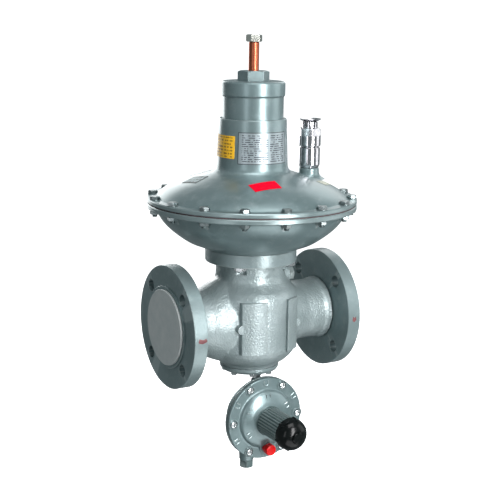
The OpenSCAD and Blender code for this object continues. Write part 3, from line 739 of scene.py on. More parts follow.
@dataclass
class PipeBody(SubAssembly):
    """The cast body with its flanges, collar and sense plug, and the loose transit disc."""

    voxel: float = 1.8
    bore: float = 40.0
    rim: float = 95.25
    bolt_circle: float = 76.2
    bolt_hole: float = 9.5
    pad_curve: float = 67.2
    pad_shift: float = 13.8
    flattening: float = 0.17
    pad_edges: Sequence[float] = (-49.8, 25.5, 50.8)

    def skin(self) -> Piece:
        """The cast skin: overlapping turned shapes that are melted together, smoothed and hollowed."""
        barrel = [
            (46.5, -76.5), (49, -71), (60, -64), (66.6, -57), (71.4, -50), (74, -43), (74.3, -4), (74, 35)
        ]
        shoulder = [(72.6, 43), (68.6, 50), (62, 56.5), (56.5, 63), (55, 71), (55, 96)]
        inlet = [(59, -126.5), (50, -121), (49.5, -117), (48, -116), (49, -98), (52, -89), (58, -77)]
        inlet += [(63, -65), (66, -56), (62, -30)]
        outlet = [(54, 30), (49, 72), (47.5, 84), (47.5, 115.5), (49.5, 116.5), (49.5, 122), (52, 125.5)]
        parts = [
            turned("barrel", [*barrel, *shoulder], bevel=None),
            turned("inlet_bulge", inlet, way=Way.PIPE, bevel=None),
            turned("outlet_neck", outlet, way=Way.PIPE, bevel=None),
            turned("sense_boss", [(14, 40), (14, 66.5), (12.5, 68)], (0, 0, 62.5), Way.PIPE, 48, None),
        ]
        for vertex in parts[1].data.vertices:
            swell = min(1.0, max(0.0, (vertex.co.x / MM + 105) / 45))
            vertex.co.y *= 1 - self.flattening * swell
        skin = joined("body_casting", parts)
        applied(skin, "REMESH", mode="VOXEL", voxel_size=self.voxel * MM)
        applied(skin, "SMOOTH", factor=0.5, iterations=7)
        lumps = bpy.data.textures.new("cast_lumps", "CLOUDS")
        lumps.noise_scale = 0.011
        applied(skin, "DISPLACE", texture=lumps, strength=0.0007, mid_level=0.5, texture_coords="LOCAL")
        for pad in self.pads():
            carve(skin, pad, "UNION", "MANIFOLD")
        carve(skin, self.hollow(), solver="MANIFOLD")
        nut_room = turned("nut_room", [(11.5, 78), (11.5, 99)], steps=32, bevel=None)
        carve(skin, ring_of("nut_rooms", nut_room, 4, STUD_CIRCLE, 45), solver="MANIFOLD")
        self.upright(skin)
        return softened(skin, 0)

    def pads(self) -> list[Piece]:
        """The machined pads on the barrel: at each side a wide one, a narrow one and a lobe on each.

        Returns:
            The pieces, each closed and with rounded edges.
        """
        pieces = []
        for side in (0, 180):
            wide = spun_block(f"pad_{side}_wide", (45, self.pad_curve), (-43, 39), -138, 49)
            tilt = math.radians(-150)
            placed(wide, Way.UP, (self.pad_shift * math.cos(tilt), self.pad_shift * math.sin(tilt), 0))
            narrow = spun_block(f"pad_{side}_narrow", (60, 79), (-43, 39), -80, 38)
            left, inner, right = self.pad_edges
            for block, edge, way in ((wide, left, -1), (narrow, inner, -1), (narrow, right, 1)):
                activate(block)
                bpy.ops.object.mode_set(mode="EDIT")
                bpy.ops.mesh.select_all(action="SELECT")
                cut = {"plane_co": (edge * MM, 0, 0), "plane_no": (way, 0, 0)}
                bpy.ops.mesh.bisect(**cut, clear_outer=True, use_fill=True)
                bpy.ops.object.mode_set(mode="OBJECT")
            lobes = []
            for name, edge, face in (("left", left, 63.6), ("right", right, 61.0)):
                spot = (edge, 0, -2)
                lobes.append(turned(f"lobe_{side}_{name}", [(7, 40), (7, face)], spot, Way.FRONT, 40, None))
            for piece in (wide, narrow, *lobes):
                placed(piece, Way.UP, (0, 0, 0), side)
                pieces.append(applied(piece, "BEVEL", width=0.8 * MM, segments=2, limit_method="ANGLE"))
        return pieces

    def hollow(self) -> Piece:
        """The room inside the body as one closed mesh."""
        bore = self.bore + 0.4
        port = [(bore, -150), (bore, -90), (28, -76)]
        lower = turned("lower_room", [(34, -80), (34, -62), (46, -62), (46, -6)], bevel=None)
        upper = turned(
            "upper_room", [(46, 10), (46, 62), (38, 74), (38, 84), (45, 84), (45, 100)], bevel=None
        )
        seat = turned("seat_room", [(33.2, -8), (33.2, 12)], bevel=None)
        ports = [turned("port_in", port, way=Way.PIPE, bevel=None)]
        ports.append(turned("port_out", [(r, -z) for r, z in port][::-1], way=Way.PIPE, bevel=None))
        ways = [turned(f"way_{i}", [(26, 0), (26, 52)], bevel=None) for i in (0, 1)]
        for way, side in zip(ways, (-1, 1)):
            activate(way)
            tilt = Matrix.Rotation(math.radians(-side * 90 - 23), 4, "Y")
            way.data.transform(Matrix.Translation((side * 0.092, 0, 0)) @ tilt)
        room = joined("body_room", [lower, upper, seat, *ports, *ways])
        return applied(room, "REMESH", mode="VOXEL", voxel_size=2.2 * MM)

    def flange(self, name: str, outlet: bool) -> Piece:
        """One pipe flange with its raised face and four chamfered bolt holes."""
        rings = [(r + k * 0.4, -2 + k * 0.12) for r in range(44, 62) for k in (0, 1)]
        face = [(self.bore, -2), *rings, (63, -2), (63.5, -1.6), (63.5, 0)]
        back = [
            (self.rim - 0.6, 0), (self.rim, 0.6), (self.rim, 21.1), (self.rim - 0.75, 21.9), (55, 21.9),
            (49, 21.0), (self.bore, 21.0)
        ]
        disc = turned(name, [*face, *back], way=Way.PIPE, steps=160, bevel=None, ring=True)
        hole = turned("hole", [(self.bolt_hole, -6), (self.bolt_hole, 30)], steps=40, bevel=None)
        holes = placed(ring_of("holes", hole, 4, self.bolt_circle, 45), Way.PIPE, (0, 0, 0))
        carve(disc, holes)
        if outlet:
            disc.data.transform(Matrix.Rotation(math.pi, 4, "Z"))
        side = span("valve_body", 0)[1] - 2 if outlet else 0.0
        placed(disc, Way.UP, (side, 0, 0))
        return softened(disc, 0.7, 50)

    def rim_mark(self, name: str, place: float, angle: float, size: tuple[float, float]) -> None:
        """A dab of old marking paint on a flange's rim.

        Args:
            name: the piece's name.
            place: its middle along the pipe from the nearer bolting face, negative at the outlet.
            angle: its place round the rim from the low side towards the front, in degrees.
            size: its width along the pipe and its height round the rim, in millimetres.
        """
        dab = flat_grid(name, 8, 8)
        lift = self.rim + 0.05
        start = place if place > 0 else span("valve_body", 0)[1] - 2 + place
        for vertex in dab.data.vertices:
            wave = 1 + 0.35 * math.sin(9 * vertex.co.y + 5 * vertex.co.x)
            turn = math.radians(angle) + vertex.co.y * size[1] / self.rim * wave
            along = start + vertex.co.x * size[0] * (1 - 0.5 * abs(vertex.co.y))
            vertex.co = Vector((along, lift * math.sin(turn), lift * math.cos(turn))) * MM
        applied(dab, "SOLIDIFY", thickness=0.0002, offset=0)
        self.dress(softened(dab, 0), MARK, "casing", "paint_cast")

    def build(self) -> None:
        """Builds and dresses every piece of the body."""
        self.dress(self.skin(), CAST, "casing", "paint_cast", "valve_body")
        for name, outlet in (("inlet_flange", False), ("outlet_flange", True)):
            self.dress(self.flange(name, outlet), FLANGE, "casing", "paint_cast", "valve_body")
        self.rim_mark("inlet_mark", 13.0, 270.5, (15, 6))
        self.rim_mark("outlet_mark", -11.0, 270.0, (7, 7))
        collar = turned(
            "top_collar", [(45, 92), (71.4, 92), (72, 93), (72, 112), (45, 112)], self.centre(),
            ring=True, bevel=1.2, steps=128
        )
        self.dress(collar, CAST_FINE, "casing", "paint_cast", "valve_body")
        end = span("sense_port_plug", 0)[1] - AXIS_X / MM
        plug = hexagonal("sense_plug", 21, end - 8, end, 1.4, 15)
        stem = turned("plug_neck", [(9.9, end - 21), (9.9, end - 7.8)], steps=40, bevel=0.3)
        recess = turned("plug_recess", [(5.4, end - 4), (5.4, end + 2)], steps=6, bevel=None)
        carve(plug, recess)
        plug = joined("sense_plug", [softened(plug, 0.5), stem])
        placed(plug, Way.PIPE, self.centre(62.5))
        self.dress(plug, RIBBED, "casing", "black_hex", "sense_port_plug")
        low = span("inlet_transit_cover", 0)[0]
        edge = [(58.5, low + 3), (58.5, low + 0.8), (57.7, low), (52, low), (51, low + 0.25)]
        rim = [
            (39.7, low + 3), (39.7, low + 14.4), (39.2, low + 15), (37.9, low + 15), (37.7, low + 14.4),
            (37.7, low + 3)
        ]
        disc = turned("transit_disc", [*reversed(rim), *edge], (0, 0, 0), Way.PIPE, 128, 0.2)
        self.dress(disc, BOARD, "inlet_cover", "cover_board", "inlet_transit_cover")


@dataclass
class BottomCover(SubAssembly):
    """The cover under the body with its screws and the nipple that carries the trip unit."""

    screws: int = 8
    screw_circle: float = 39.0

    def build(self) -> None:
        """Builds and dresses the cover's pieces."""
        low = span("bottom_cover")[0]
        rim = [
            (8, low + 3), (8, low), (43.8, low), (44.6, low + 0.4), (47, low + 4), (47, low + 8.5),
            (30, low + 8.5)
        ]
        cover = turned("bottom_cover_shell", rim, self.centre(), ring=True, bevel=0.5, steps=128)
        self.dress(cover, CAST_FINE, "casing", "paint_smooth", "bottom_cover")
        head = hexagonal("cover_screw", 8, low - 4.2, low - 0.7, -0.7)
        tip = turned("screw_washer", [(4.9, low - 0.7), (4.9, low + 0.1)], steps=32, bevel=0.2)
        screw = joined("cover_screw", [softened(head, 0.25), tip])
        screws = ring_of("cover_screws", screw, self.screws, self.screw_circle, 22.5, 17)
        self.dress(self.upright(screws), ZINC, "casing", "zinc", "bottom_cover_screws")
        spot = (AXIS_X / MM, middle("trip_link", 1), 0)
        collar = hexagonal("nipple_hex", 13, low - 5.5, low, -0.8)
        pipe = turned("nipple_pipe", [(4.95, low - 17), (4.95, low - 5.4)], steps=32, bevel=0.2)
        nipple = joined("trip_nipple_piece", [softened(collar, 0.3), pipe])
        self.dress(placed(nipple, Way.UP, spot), ZINC, "casing", "zinc", "trip_nipple")


@dataclass
class DiaphragmCasing(SubAssembly):
    """The two halves of the casing with the spring tube, bolts, studs and labels."""

    bolts: int = 16
    bolt_circle: float = 155.0
    first_bolt: float = 11.25
    tube_r: float = 54.9
    tube_foot: float = 245.0
    tube_taper: float = 0.0414

    def lower(self) -> Piece:
        """The lower bowl with a scallop round each nut."""
        dish = [
            (70.5, 112), (74, 113), (80, 116), (90, 120), (101, 124.5), (112.5, 132), (123, 140),
            (132, 148)
        ]
        wall = [(139, 156), (144.3, 164), (147.6, 170), (149.5, 173.5), (151.5, 175.6), (154, 176)]
        lip = [(162, 176), (163.4, 177.4), (163.4, 182.6), (162, 184), (138, 184)]
        inner = [(137, 172), (116, 146), (78, 127), (45, 124), (45, 112)]
        shell = [*arc_profile([*dish, *wall], 3), *lip, *inner]
        bowl = turned("lower_bowl", shell, steps=192, bevel=None, ring=True)
        room = turned("nut_scallop", [(9.0, 150), (9.6, 155), (9.9, 175.9)], steps=28, bevel=None)
        carve(bowl, ring_of("nut_scallops", room, self.bolts, self.bolt_circle, self.first_bolt))
        self.upright(bowl)
        return softened(bowl, 0)

    def upper(self) -> Piece:
        """The dome, the spring tube and the vent's boss."""
        lip = [(138, 185.6), (162, 185.6), (163.4, 187), (163.4, 191.2), (162, 192.7), (152.5, 192.7)]
        dome = [
            (150.5, 193.2), (148.2, 195), (144, 198.4), (136, 204), (125, 210), (111, 216), (92.5, 222),
            (75, 227.6), (64, 231.2)
        ]
        foot = [(59.5, 233.4), (56.6, 236.5), (55.2, 241)]
        tube = [(54.9, 245), (52.1, 312.6), (51, 314), (47.15, 314)]
        inner = [(47.15, 262), (44, 262), (44, 235), (60, 226), (98, 213), (126, 200), (138, 189)]
        shell = [*lip, *arc_profile([*dome, *foot], 3), *tube, *inner]
        top = turned("upper_dome", shell, steps=192, bevel=None, ring=True)
        room = turned("bolt_scallop", [(8.6, 192.75), (8.6, 206)], steps=28, bevel=None)
        carve(top, ring_of("bolt_scallops", room, self.bolts, self.bolt_circle, self.first_bolt))
        boss = [(26, 214), (21, 217), (17.6, 220.5), (16.2, 224), (16, 230.8), (15, 231.9), (9, 231.9)]
        knob = turned("vent_boss", arc_profile(boss[:4], 3) + boss[4:], (105, 0, 0), steps=64, bevel=0.3)
        top = joined("upper_dome", [softened(top, 0), knob])
        return self.upright(top)

    def fasteners(self) -> None:
        """The rim bolts and nuts and the collar's studs and nuts."""
        top = span("upper_casing")[0] + 7.1
        head = hexagonal("rim_bolt", 13, top + 0.9, top + 5.6, 1.2)
        washer = turned("rim_washer", [(7.6, top), (7.9, top + 0.3), (7.9, top + 0.9)], steps=32, bevel=0.15)
        bolt = joined("rim_bolt", [softened(head, 0.3), washer])
        ring = ring_of("rim_bolt_ring", bolt, self.bolts, self.bolt_circle, self.first_bolt, 23)
        self.dress(self.upright(ring), DULL, "casing", "zinc", "rim_bolts")
        low = span("lower_casing")[0] + 78
        thread = [(3.2, low - 9.2), (3.9, low - 8.4)]
        while thread[-1][1] < low - 5:
            thread += [(3.4, thread[-1][1] + 0.5), (3.9, thread[-1][1] + 1.0)]
        nut = joined(
            "rim_nut",
            [
                softened(hexagonal("rim_nut", 13, low - 5.4, low, -1.1), 0.3),
                turned("nut_end", thread, steps=24, bevel=None)
            ]
        )
        ring = ring_of("rim_nut_ring", nut, self.bolts, self.bolt_circle, self.first_bolt, 31)
        self.dress(self.upright(ring), DULL, "casing", "zinc", "rim_nuts")
        high = span("casing_nuts")[1]
        nut = softened(hexagonal("collar_nut", 17, high - 6, high, -1.2), 0.4)
        end = span("casing_studs")[0]
        thread = [(3.8, end), (4.9, end + 1.2)]
        while thread[-1][1] < high - 6.1:
            thread += [(4.2, thread[-1][1] + 0.7), (4.9, thread[-1][1] + 1.4)]
        stud = turned("collar_stud", [*thread, (4.9, high + 0.2)], steps=32, bevel=None)
        ring = ring_of("collar_nut_ring", nut, 4, STUD_CIRCLE, 45, 17)
        self.dress(self.upright(ring), ZINC, "casing", "zinc", "casing_nuts")
        ring = ring_of("collar_stud_ring", softened(stud, 0), 4, STUD_CIRCLE, 45)
        self.dress(self.upright(ring), ZINC, "casing", "zinc", "casing_studs")

    def tube_label(
        self, name: str, heights: tuple[float, float], angles: tuple[float, float], finish: Label
    ) -> None:
        """A thin label bent round the spring tube.

        Args:
            name: the piece's name.
            heights: its low and high edge in millimetres.
            angles: its two upright edges, in degrees from the front towards the outlet.
            finish: its print.
        """
        label = flat_grid(name, 24, 10)
        for vertex in label.data.vertices:
            share = vertex.co.x + 0.5
            angle = math.radians(angles[0] + share * (angles[1] - angles[0]) - 90)
            height = heights[0] + (vertex.co.y + 0.5) * (heights[1] - heights[0])
            radius = self.tube_r - (height - self.tube_foot) * self.tube_taper + 0.12
            vertex.co = Vector((radius * math.cos(angle), radius * math.sin(angle), height)) * MM
        applied(label, "SOLIDIFY", thickness=0.0003, offset=1)
        self.upright(label)
        self.dress(softened(label, 0), finish, "casing", "paint_smooth")

    def dome_label(
        self, name: str, spot: tuple[float, float], size: tuple[float, float], turn: float, finish: Label,
        dome: Piece
    ) -> None:
        """A thin label laid on the dome.

        Args:
            name: the piece's name.
            spot: its distance from the axis and its angle from the front towards the outlet.
            size: its width and depth in millimetres.
            turn: its turn about the upright, in degrees.
            finish: its print.
            dome: the piece it lies on.
        """
        label = flat_grid(name, 20, 10)
        angle = math.radians(spot[1] - 90)
        where = Vector((AXIS_X + spot[0] * MM * math.cos(angle), spot[0] * MM * math.sin(angle), 0.3))
        spin = Matrix.Rotation(math.radians(turn), 4, "Z")
        scale = Matrix.Diagonal((size[0] * MM, size[1] * MM, 1, 1))
        label.data.transform(Matrix.Translation(where) @ spin @ scale)
        settings = {
            "target": dome, "wrap_method": "PROJECT", "use_project_z": True,
            "use_negative_direction": True, "offset": 0.0002
        }
        applied(label, "SHRINKWRAP", use_positive_direction=False, **settings)
        applied(label, "SOLIDIFY", thickness=0.0003, offset=1)
        self.dress(softened(label, 0), finish, "casing", "paint_smooth")

    def build(self) -> None:
        """Builds and dresses every piece of the casing."""
        self.dress(self.lower(), PAINT, "casing", "paint_smooth", "lower_casing")
        dome = self.dress(self.upper(), PAINT, "casing", "paint_smooth", "upper_casing")
        self.fasteners()
        self.tube_label("rating_plate", (248.5, 296.5), (-54, 35), PLATE)
        self.tube_label("tube_sticker", (256, 290), (-118, -60), YELLOW)
        self.dome_label("dome_sticker", (92.3, -18.1), (44, 23), -3, REDMARK, dome)
        self.dome_label("dome_plate_left", (93, -99), (32, 26), -76, FAINT, dome)
        self.dome_label("dome_plate_right", (112, 58), (34, 15), 40, PALE, dome)


@dataclass
class AdjustingGear(SubAssembly):
    """The sleeve, cap and bush on the spring tube, and the rod that rises through them."""

    def build(self) -> None:
        """Builds and dresses the gear."""
        low, high = span("adjusting_sleeve")
        high -= 14
        sleeve = [
            (40, low), (46, low), (46.95, low + 1), (46.95, high), (44.1, high), (44.1, high + 10),
            (40, high + 10)
        ]
        piece = turned("sleeve", sleeve, self.centre(), ring=True, steps=128, bevel=0.3)
        self.dress(piece, PAINT, "adjuster", "paint_smooth", "adjusting_sleeve")
        low, high = span("adjusting_cap")
        cap = [
            (44.05, low), (46.8, low), (48.2, low + 1.6), (49, low + 4), (49, high - 4.5),
            (48.4, high - 2), (46.5, high - 0.4)
        ]
        crown = [(44, high), (24, high), (13.05, high), (13.05, high - 8), (44.05, high - 8)]
        piece = turned(
            "top_cap", [*arc_profile(cap, 2), *crown], self.centre(), ring=True, steps=144, bevel=0.4
        )
        self.dress(piece, PAINT, "adjuster", "paint_smooth", "adjusting_cap")
        top = span("top_bush")[1]
        bush = hexagonal("cap_bush", 43, high, top, 1.8, -81.4)
        bore = turned("bush_bore", [(8.1, high - 1), (8.1, top - 1.2), (10.0, top + 1)], steps=48, bevel=None)
        carve(bush, bore)
        spigot = turned(
            "bush_spigot", [(12.9, high - 8), (12.9, high + 0.2), (8.1, high + 0.2), (8.1, high - 8)],
            steps=48, bevel=None, ring=True
        )
        bush = joined("cap_bush", [softened(bush, 0.5), softened(spigot, 0)])
        self.dress(self.upright(bush), PAINT, "adjuster", "paint_smooth", "top_bush")
        low, high = span("indicator_rod")
        rod = [(8, low), (8, high - 1.5), (7, high)]
        piece = turned("indicator_rod_piece", rod, self.centre(), steps=64, bevel=0.25)
        self.dress(piece, COPPER, "stem_assembly", "copper", "indicator_rod")
        low, high = span("rod_nut")
        nut = softened(hexagonal("rod_hexagon", 22, low, high, -1.3, -81.4), 0.35)
        self.dress(self.upright(nut), BRIGHT, "stem_assembly", "brass", "rod_nut")


@dataclass
class Vent(SubAssembly):
    """The plated relief vent on the dome."""

    def build(self) -> None:
        """Builds and dresses the vent."""
        x = middle("vent_guide")
        base = span("vent_collar")[0] - 34.5
        spot = (x, 0, base)
        shell = [
            (5, -9), (9.9, -9), (9.9, 0), (14.2, 0), (15.4, 0.9), (15.6, 2.2), (16.9, 4.2), (17, 5.2),
            (17, 30.5)
        ]
        neck = [(16.2, 32.2), (14.9, 33), (14.9, 34.4), (12.9, 34.4), (12.9, 38), (5, 38)]
        body = turned("vent_barrel", [*shell, *neck], spot, ring=True, bevel=0.25)
        screw = turned("vent_screw", [(2.1, 0), (2.1, 1.4), (1.6, 2.0), (0.5, 2.1)], steps=20, bevel=0.1)
        screw = placed(screw, Way.FRONT, (x - 6, -14.6, base + 1.5))
        self.dress(joined("vent_barrel", [body, screw]), CHROME, "casing", "chrome", "vent_body")
        ring = [
            (13.1, 34.6), (16.9, 34.6), (17.7, 35.6), (17.7, 60.4), (16.8, 62.2), (15.2, 63), (9, 63),
            (9, 40), (13.1, 40)
        ]
        collar = turned("vent_hexagon", ring, steps=96, bevel=None, ring=True)
        flats = turned(
            "vent_flats", [(31.5 / math.sqrt(3), 51), (31.5 / math.sqrt(3), 66)], steps=6, bevel=None
        )
        keep = turned("vent_keep", [(20, 30), (20, 51.2)], steps=32, bevel=None)
        placed(flats, Way.UP, (0, 0, 0), 39)
        flats = carve(flats, keep, "UNION")
        carve(collar, flats, "INTERSECT")
        self.dress(placed(softened(collar, 0.35), Way.UP, spot), CHROME, "casing", "chrome", "vent_collar")
        crown = turned(
            "vent_castle", [(9, 62.8), (12.2, 62.8), (12.2, 72.2), (11.7, 72.6), (9, 72.6)], steps=96,
            bevel=None, ring=True
        )
        slot = turned("slot", [(2.9, 65), (2.9, 76)], steps=4, bevel=None)
        placed(slot, Way.UP, (0, 0, 0), 45)
        carve(crown, ring_of("slots", slot, 12, 11))
        self.dress(placed(softened(crown, 0.2), Way.UP, spot), CHROME, "casing", "chrome", "vent_crown")
        edge = [(3, 46.5), (6, 46.5), (6, 44), (0.5, 44)]
        plate = [
            (3, 72.9), (10.6, 73.1), (16.9, 76.3), (17.8, 77.2), (17.4, 77.7), (15.6, 77.5), (9, 75.8),
            (0.5, 75.4)
        ]
        disc = turned("vent_flare", [*reversed(edge), *plate], spot, bevel=0.15)
        self.dress(disc, CHROME, "vent_valve", "chrome", "vent_disc")


@dataclass
class TripUnit(SubAssembly):
    """The slam shut trip unit that hangs under the body."""

    screws: int = 6
    ring: float = 58.4

    def at(self) -> tuple[float, float, float]:
        """The unit's axis where it crosses the valve's upright plane, in millimetres."""
        return (AXIS_X / MM, 0.0, TRIP_Z / MM)

    def mark(self, radius: float, face: float) -> Piece:
        """A raised U that opens outwards, copied round the cover.

        Args:
            radius: its distance from the axis.
            face: the height of the face it stands on.

        Returns:
            Six marks, joined.
        """
        deselect()
        bpy.ops.mesh.primitive_torus_add(
            major_radius=0.0036, minor_radius=0.0011, major_segments=24, minor_segments=8
        )
        bend = bpy.context.object
        bpy.ops.object.mode_set(mode="EDIT")
        bpy.ops.mesh.select_all(action="SELECT")
        bpy.ops.mesh.bisect(plane_co=(0, 0, 0), plane_no=(1, 0, 0), clear_outer=True, use_fill=False)
        bpy.ops.mesh.select_all(action="DESELECT")
        bpy.ops.mesh.select_mode(type="EDGE")
        bpy.ops.mesh.select_non_manifold()
        bpy.ops.mesh.extrude_edges_move(TRANSFORM_OT_translate={"value": (0.0046, 0, 0)})
        bpy.ops.mesh.edge_face_add()
        bpy.ops.object.mode_set(mode="OBJECT")
        tidy(bend)
        placed(bend, Way.UP, (0, 0, face))
        return ring_of("marks", softened(bend, 0), self.screws, radius, 30)

    def front(self) -> Piece:
        """The front cover with its screw seats and cast marks."""
        low = -span("trip_front_cover", 1)[1]
        rim = [(20, low), (65, low), (66, low + 0.9), (66, 52.8), (64.9, 54), (51, 54)]
        dome = [
            (48.4, 54.3), (47, 55.4), (46, 57.4), (44, 59.4), (40.5, 61.4), (35, 63.6), (29.5, 65.2),
            (24, 66)
        ]
        cover = turned("trip_cover", [*rim, *arc_profile(dome, 3), (20, 66)], steps=160, bevel=0.5, ring=True)
        seat = turned("seat", [(6.9, 53.0), (6.9, 70)], steps=32, bevel=None)
        carve(cover, ring_of("seats", seat, self.screws, self.ring))
        lip = [(6.9, 53.6), (8.2, 53.6), (8.2, 55.0), (7.8, 55.5), (7.3, 55.5), (6.9, 55.0)]
        lips = ring_of("lips", turned("lip", lip, steps=40, bevel=None, ring=True), self.screws, self.ring)
        boss = turned(
            "button_boss", [(11.4, 53), (11.4, 57.4), (10.9, 58), (9.4, 58)], (0, -47, 0), steps=48,
            bevel=0.3
        )
        parts = [softened(cover, 0), softened(lips, 0), boss, self.mark(57.5, 54.1), self.mark(37.2, 62.6)]
        return placed(joined("trip_cover", parts), Way.FRONT, self.at())

    def build(self) -> None:
        """Builds and dresses the trip unit."""
        split = -span("trip_diaphragm", 1)[1]
        rear = [
            (38, 12), (46, 13.5), (50, 17), (52, 22), (53.5, 38), (55, split - 4.5), (65.2, split - 4.5),
            (66, split - 3.7), (66, split - 0.4), (65.6, split)
        ]
        back = turned("trip_back", arc_profile(rear[:5], 3) + rear[5:], (0, 0, 0), steps=160, bevel=0.4)
        placed(back, Way.FRONT, self.at())
        link = (AXIS_X / MM, middle("trip_link", 1), 0)
        side = middle("trip_port_fitting")
        foot = span("trip_port_fitting")[0]
        neck = turned(
            "trip_neck", arc_profile([(16, -111), (12, -106), (10.2, -101), (10, -97.6)], 3), link,
            steps=48, bevel=0.3
        )
        port = [(10.4, foot + 11.9), (11.6, foot + 13), (12, foot + 22), (13.5, foot + 31), (17, foot + 38)]
        port = turned("trip_port", port, (side, link[1], 0), steps=48, bevel=0.3)
        self.dress(
            joined("trip_back", [back, neck, port]), PAINT, "casing", "paint_smooth", "trip_rear_casing"
        )
        self.dress(self.front(), PAINT, "casing", "paint_smooth", "trip_front_cover")
        head = [(2.5, 52.8), (4.9, 52.8), (5.0, 56.4), (4.6, 57.3), (3.4, 57.7), (0.6, 57.7)]
        screw = turned("trip_screw", head, steps=36, bevel=0.25)
        socket = turned("socket", [(2.3, 55.4), (2.3, 60)], steps=6, bevel=None)
        carve(screw, socket)
        tail = turned("tail", [(2.9, split - 6), (2.9, split - 4)], steps=24, bevel=0.2)
        screws = ring_of(
            "trip_screw_ring", joined("trip_screw", [softened(screw, 0), tail]), self.screws, self.ring, 0, 11
        )
        self.dress(placed(screws, Way.FRONT, self.at()), ZINC, "casing", "zinc", "trip_cover_screws")
        self.dress(self.housing(), RIBBED, "casing", "paint_smooth", "trip_spring_housing")
        self.dress(self.cap(), BLACK, "reset_cap", "black_plastic", "trip_cap")
        self.dress(self.button(), RED, "trip_push_button", "red_plastic", "trip_button")
        hexagon = softened(hexagonal("port_hex", 21, foot, foot + 12, -1.8), 0.5)
        bore = turned("port_bore", [(4, foot - 1), (4, foot + 9)], steps=32, bevel=None)
        carve(hexagon, bore)
        self.dress(
            placed(softened(hexagon, 0), Way.UP, (side, link[1], 0)), RIBBED, "casing", "zinc",
            "trip_port_fitting"
        )

    def housing(self) -> Piece:
        """The ribbed spring housing."""
        end = -span("trip_spring_housing", 1)[0] - 7
        tube = turned(
            "spring_tube",
            [(14, 60), (21, 60), (21.3, end - 1), (20.6, end), (19, end), (19, end + 7), (14, end + 7)],
            steps=96, bevel=0.3, ring=True
        )
        rib = turned("rib", [(1.25, 64), (1.25, end - 3.5), (0.5, end - 2)], steps=8, bevel=None)
        ribs = ring_of("ribs", rib, 30, 21.4)
        foot = turned(
            "foot", arc_profile([(26, 64.6), (23.6, 66.4), (22.6, 68.2), (22.3, 70)], 3), steps=96,
            bevel=0.2
        )
        return placed(joined("ribbed_housing", [tube, softened(ribs, 0), foot]), Way.FRONT, self.at())

    def cap(self) -> Piece:
        """The black domed cap with its raised centre and grip lugs."""
        high, low = (-y for y in span("trip_cap", 1))
        skirt = [(19.4, low + 9), (19.4, low + 0.5), (23.6, low), (25, low + 1.2), (25, low + 6)]
        dome = [
            (24.8, low + 8), (23.9, low + 12.4), (21.4, low + 17.2), (17.2, low + 21.2),
            (12.4, low + 23.6), (9.4, low + 24.4)
        ]
        knob = [(8.8, high - 3.4), (8.5, high - 0.9), (7.6, high - 0.1), (3.0, high), (0.5, high - 0.3)]
        cap = turned("black_cap", [*skirt, *arc_profile(dome, 3), *knob], steps=128, bevel=0.35)
        lug = turned("lug", [(2.2, low + 0.6), (2.2, low + 7.5), (1.2, low + 11)], steps=16, bevel=0.3)
        lugs = ring_of("lugs", lug, 6, 24.1, 15)
        face = hexagonal("cap_hexagon", 16.5, high - 3.6, high + 0.35, 1.0, 12)
        return placed(joined("black_cap", [cap, lugs, softened(face, 0.6)]), Way.FRONT, self.at())

    def button(self) -> Piece:
        """The red push button."""
        high, low = (-y for y in span("trip_button", 1))
        drop = TRIP_Z / MM - middle("trip_button", 2)
        shape = [
            (6.9, low), (6.9, low + 7.4), (8.4, low + 8.8), (9, low + 9.6), (9, high - 2.6),
            (8.5, high - 1), (7.2, high - 0.2), (3, high), (0.5, high)
        ]
        button = turned("red_button", shape, (0, -drop, 0), steps=64, bevel=0.2)
        return placed(button, Way.FRONT, self.at())


@dataclass
class InnerWorks(SubAssembly):
    """CAD nodes whose shape is right as it is: they keep it and get a finish."""

    def build(self) -> None:
        """Dresses every node that no other piece stands for."""
        finishes = {
            "stainless": STEEL,
            "rubber": RUBBER,
            "bronze": BRONZE,
            "spring_steel": SPRING,
            "zinc": ZINC,
            "chrome": CHROME,
        }
        slots = {row["node"]: row["material_slot"] for row in frame["record"]["subparts"]}
        for name, obj in frame["nodes"].items():
            if obj.hide_render:
                continue
            finish = SEAM if name == "diaphragm" else finishes[slots[name]]
            self.coat(obj, finish)
            LOG.info("%s keeps its CAD shape", name)


# ------------------------------------------------------------------ studio


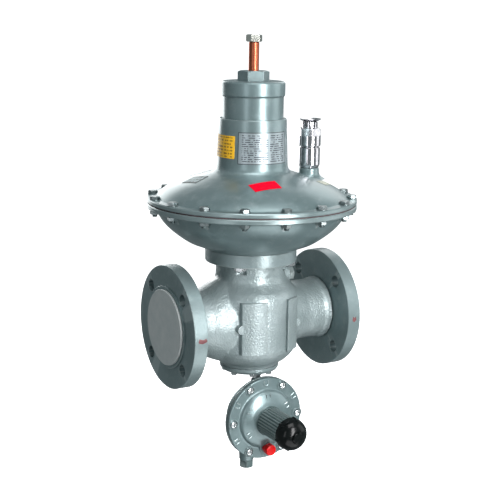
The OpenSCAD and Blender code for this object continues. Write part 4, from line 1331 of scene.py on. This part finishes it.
@dataclass
class Studio:
    """The floor, the lights and the camera."""

    gap: float = 0.35
    eye: Sequence[float] = (-0.70188, -1.45132, 0.46474)
    look: Sequence[float] = (0.49459, 0.84560, -0.20086)
    roll: float = 0.90
    lens: float = 78.66
    shift: Sequence[float] = (-0.0019, -0.0168)

    def camera(self) -> None:
        """A level camera with a slight roll."""
        data = bpy.data.cameras.new("camera")
        data.sensor_width = 36
        data.lens = self.lens
        data.shift_x, data.shift_y = self.shift
        data.clip_end = 200
        eye = bpy.data.objects.new("camera", data)
        bpy.context.scene.collection.objects.link(eye)
        aim = Vector(self.look).to_track_quat("-Z", "Y").to_matrix().to_4x4()
        roll = Matrix.Rotation(math.radians(self.roll), 4, "Z")
        eye.matrix_world = Matrix.Translation(Vector(self.eye)) @ aim @ roll
        bpy.context.scene.camera = eye

    def lamp(
        self, name: str, spot: Sequence[float], size: tuple[float, float], power: float,
        tint: Colour = (1, 1, 1)
    ) -> None:
        """A soft rectangular lamp that faces the valve."""
        data = bpy.data.lights.new(name, "AREA")
        data.shape = "RECTANGLE"
        data.size, data.size_y = size
        data.energy = power
        data.color = tint
        lamp = bpy.data.objects.new(name, data)
        bpy.context.scene.collection.objects.link(lamp)
        lamp.location = spot
        target = Vector((AXIS_X, 0, 0.1))
        lamp.rotation_euler = (target - Vector(spot)).to_track_quat("-Z", "Y").to_euler()

    def stage(self) -> None:
        """A pale floor and a pale wall far behind."""
        deselect()
        low = CAD_BOX[0][2]
        r = Recipe("pale_floor")
        tone = r.blend(r.noise(900, 2), (0.80, 0.80, 0.81), (0.84, 0.84, 0.84))
        pale = r.shaded(Base_Color=tone, Roughness=0.8, Emission_Color=(1.0, 1.0, 1.0), Emission_Strength=1.0)
        bpy.ops.mesh.primitive_plane_add(size=80, location=(0, 0, low - self.gap))
        floor = bpy.context.object
        floor.name = "floor"
        floor.data.materials.append(pale)
        bpy.ops.mesh.primitive_plane_add(
            size=1, location=(12, 22, 3), rotation=(math.radians(90), 0, math.radians(-30))
        )
        wall = bpy.context.object
        wall.name = "back_wall"
        wall.scale = (60, 9, 1)
        wall.data.materials.append(pale)
        for plane in (floor, wall):
            plane.visible_diffuse = plane.visible_glossy = False
        world = bpy.data.worlds.new("studio")
        bpy.context.scene.world = world
        world.use_nodes = True
        sky = world.node_tree.nodes["Background"]
        sky.inputs[0].default_value = (0.84, 0.97, 1.0, 1.0)
        sky.inputs[1].default_value = 0.25
        bpy.context.scene.view_settings.view_transform = "Standard"
        bpy.context.scene.view_settings.look = "None"

    def build(self) -> None:
        """Sets up the whole studio."""
        self.camera()
        self.stage()
        self.lamp("key_right", (0.38, -2.2, 0.5), (0.55, 2.0), 76)
        self.lamp("top", (0.0, -0.9, 2.3), (1.6, 1.6), 44)
        self.lamp("left_low", (-2.0, -1.5, 0.3), (0.5, 1.6), 7, (0.97, 0.97, 1.0))
        self.lamp("right_side", (2.2, -1.0, 0.6), (1.4, 1.8), 13)
        self.lamp("floor_bounce", (0.2, -1.2, -1.4), (2.0, 1.2), 17)
        self.lamp("back_right", (2.0, 1.5, 1.3), (1.4, 1.4), 9)
        self.lamp("back_fill", (0.3, 2.4, 0.5), (1.6, 1.6), 26)


def main() -> None:
    """Builds the valve and its studio in order."""
    logging.basicConfig(level=logging.INFO, format="%(message)s")
    stock: dict = {}
    for group in (PipeBody, BottomCover, DiaphragmCasing, AdjustingGear, Vent, TripUnit, InnerWorks):
        group(stock).build()
    Studio().build()


if __name__ == "__main__":
    main()
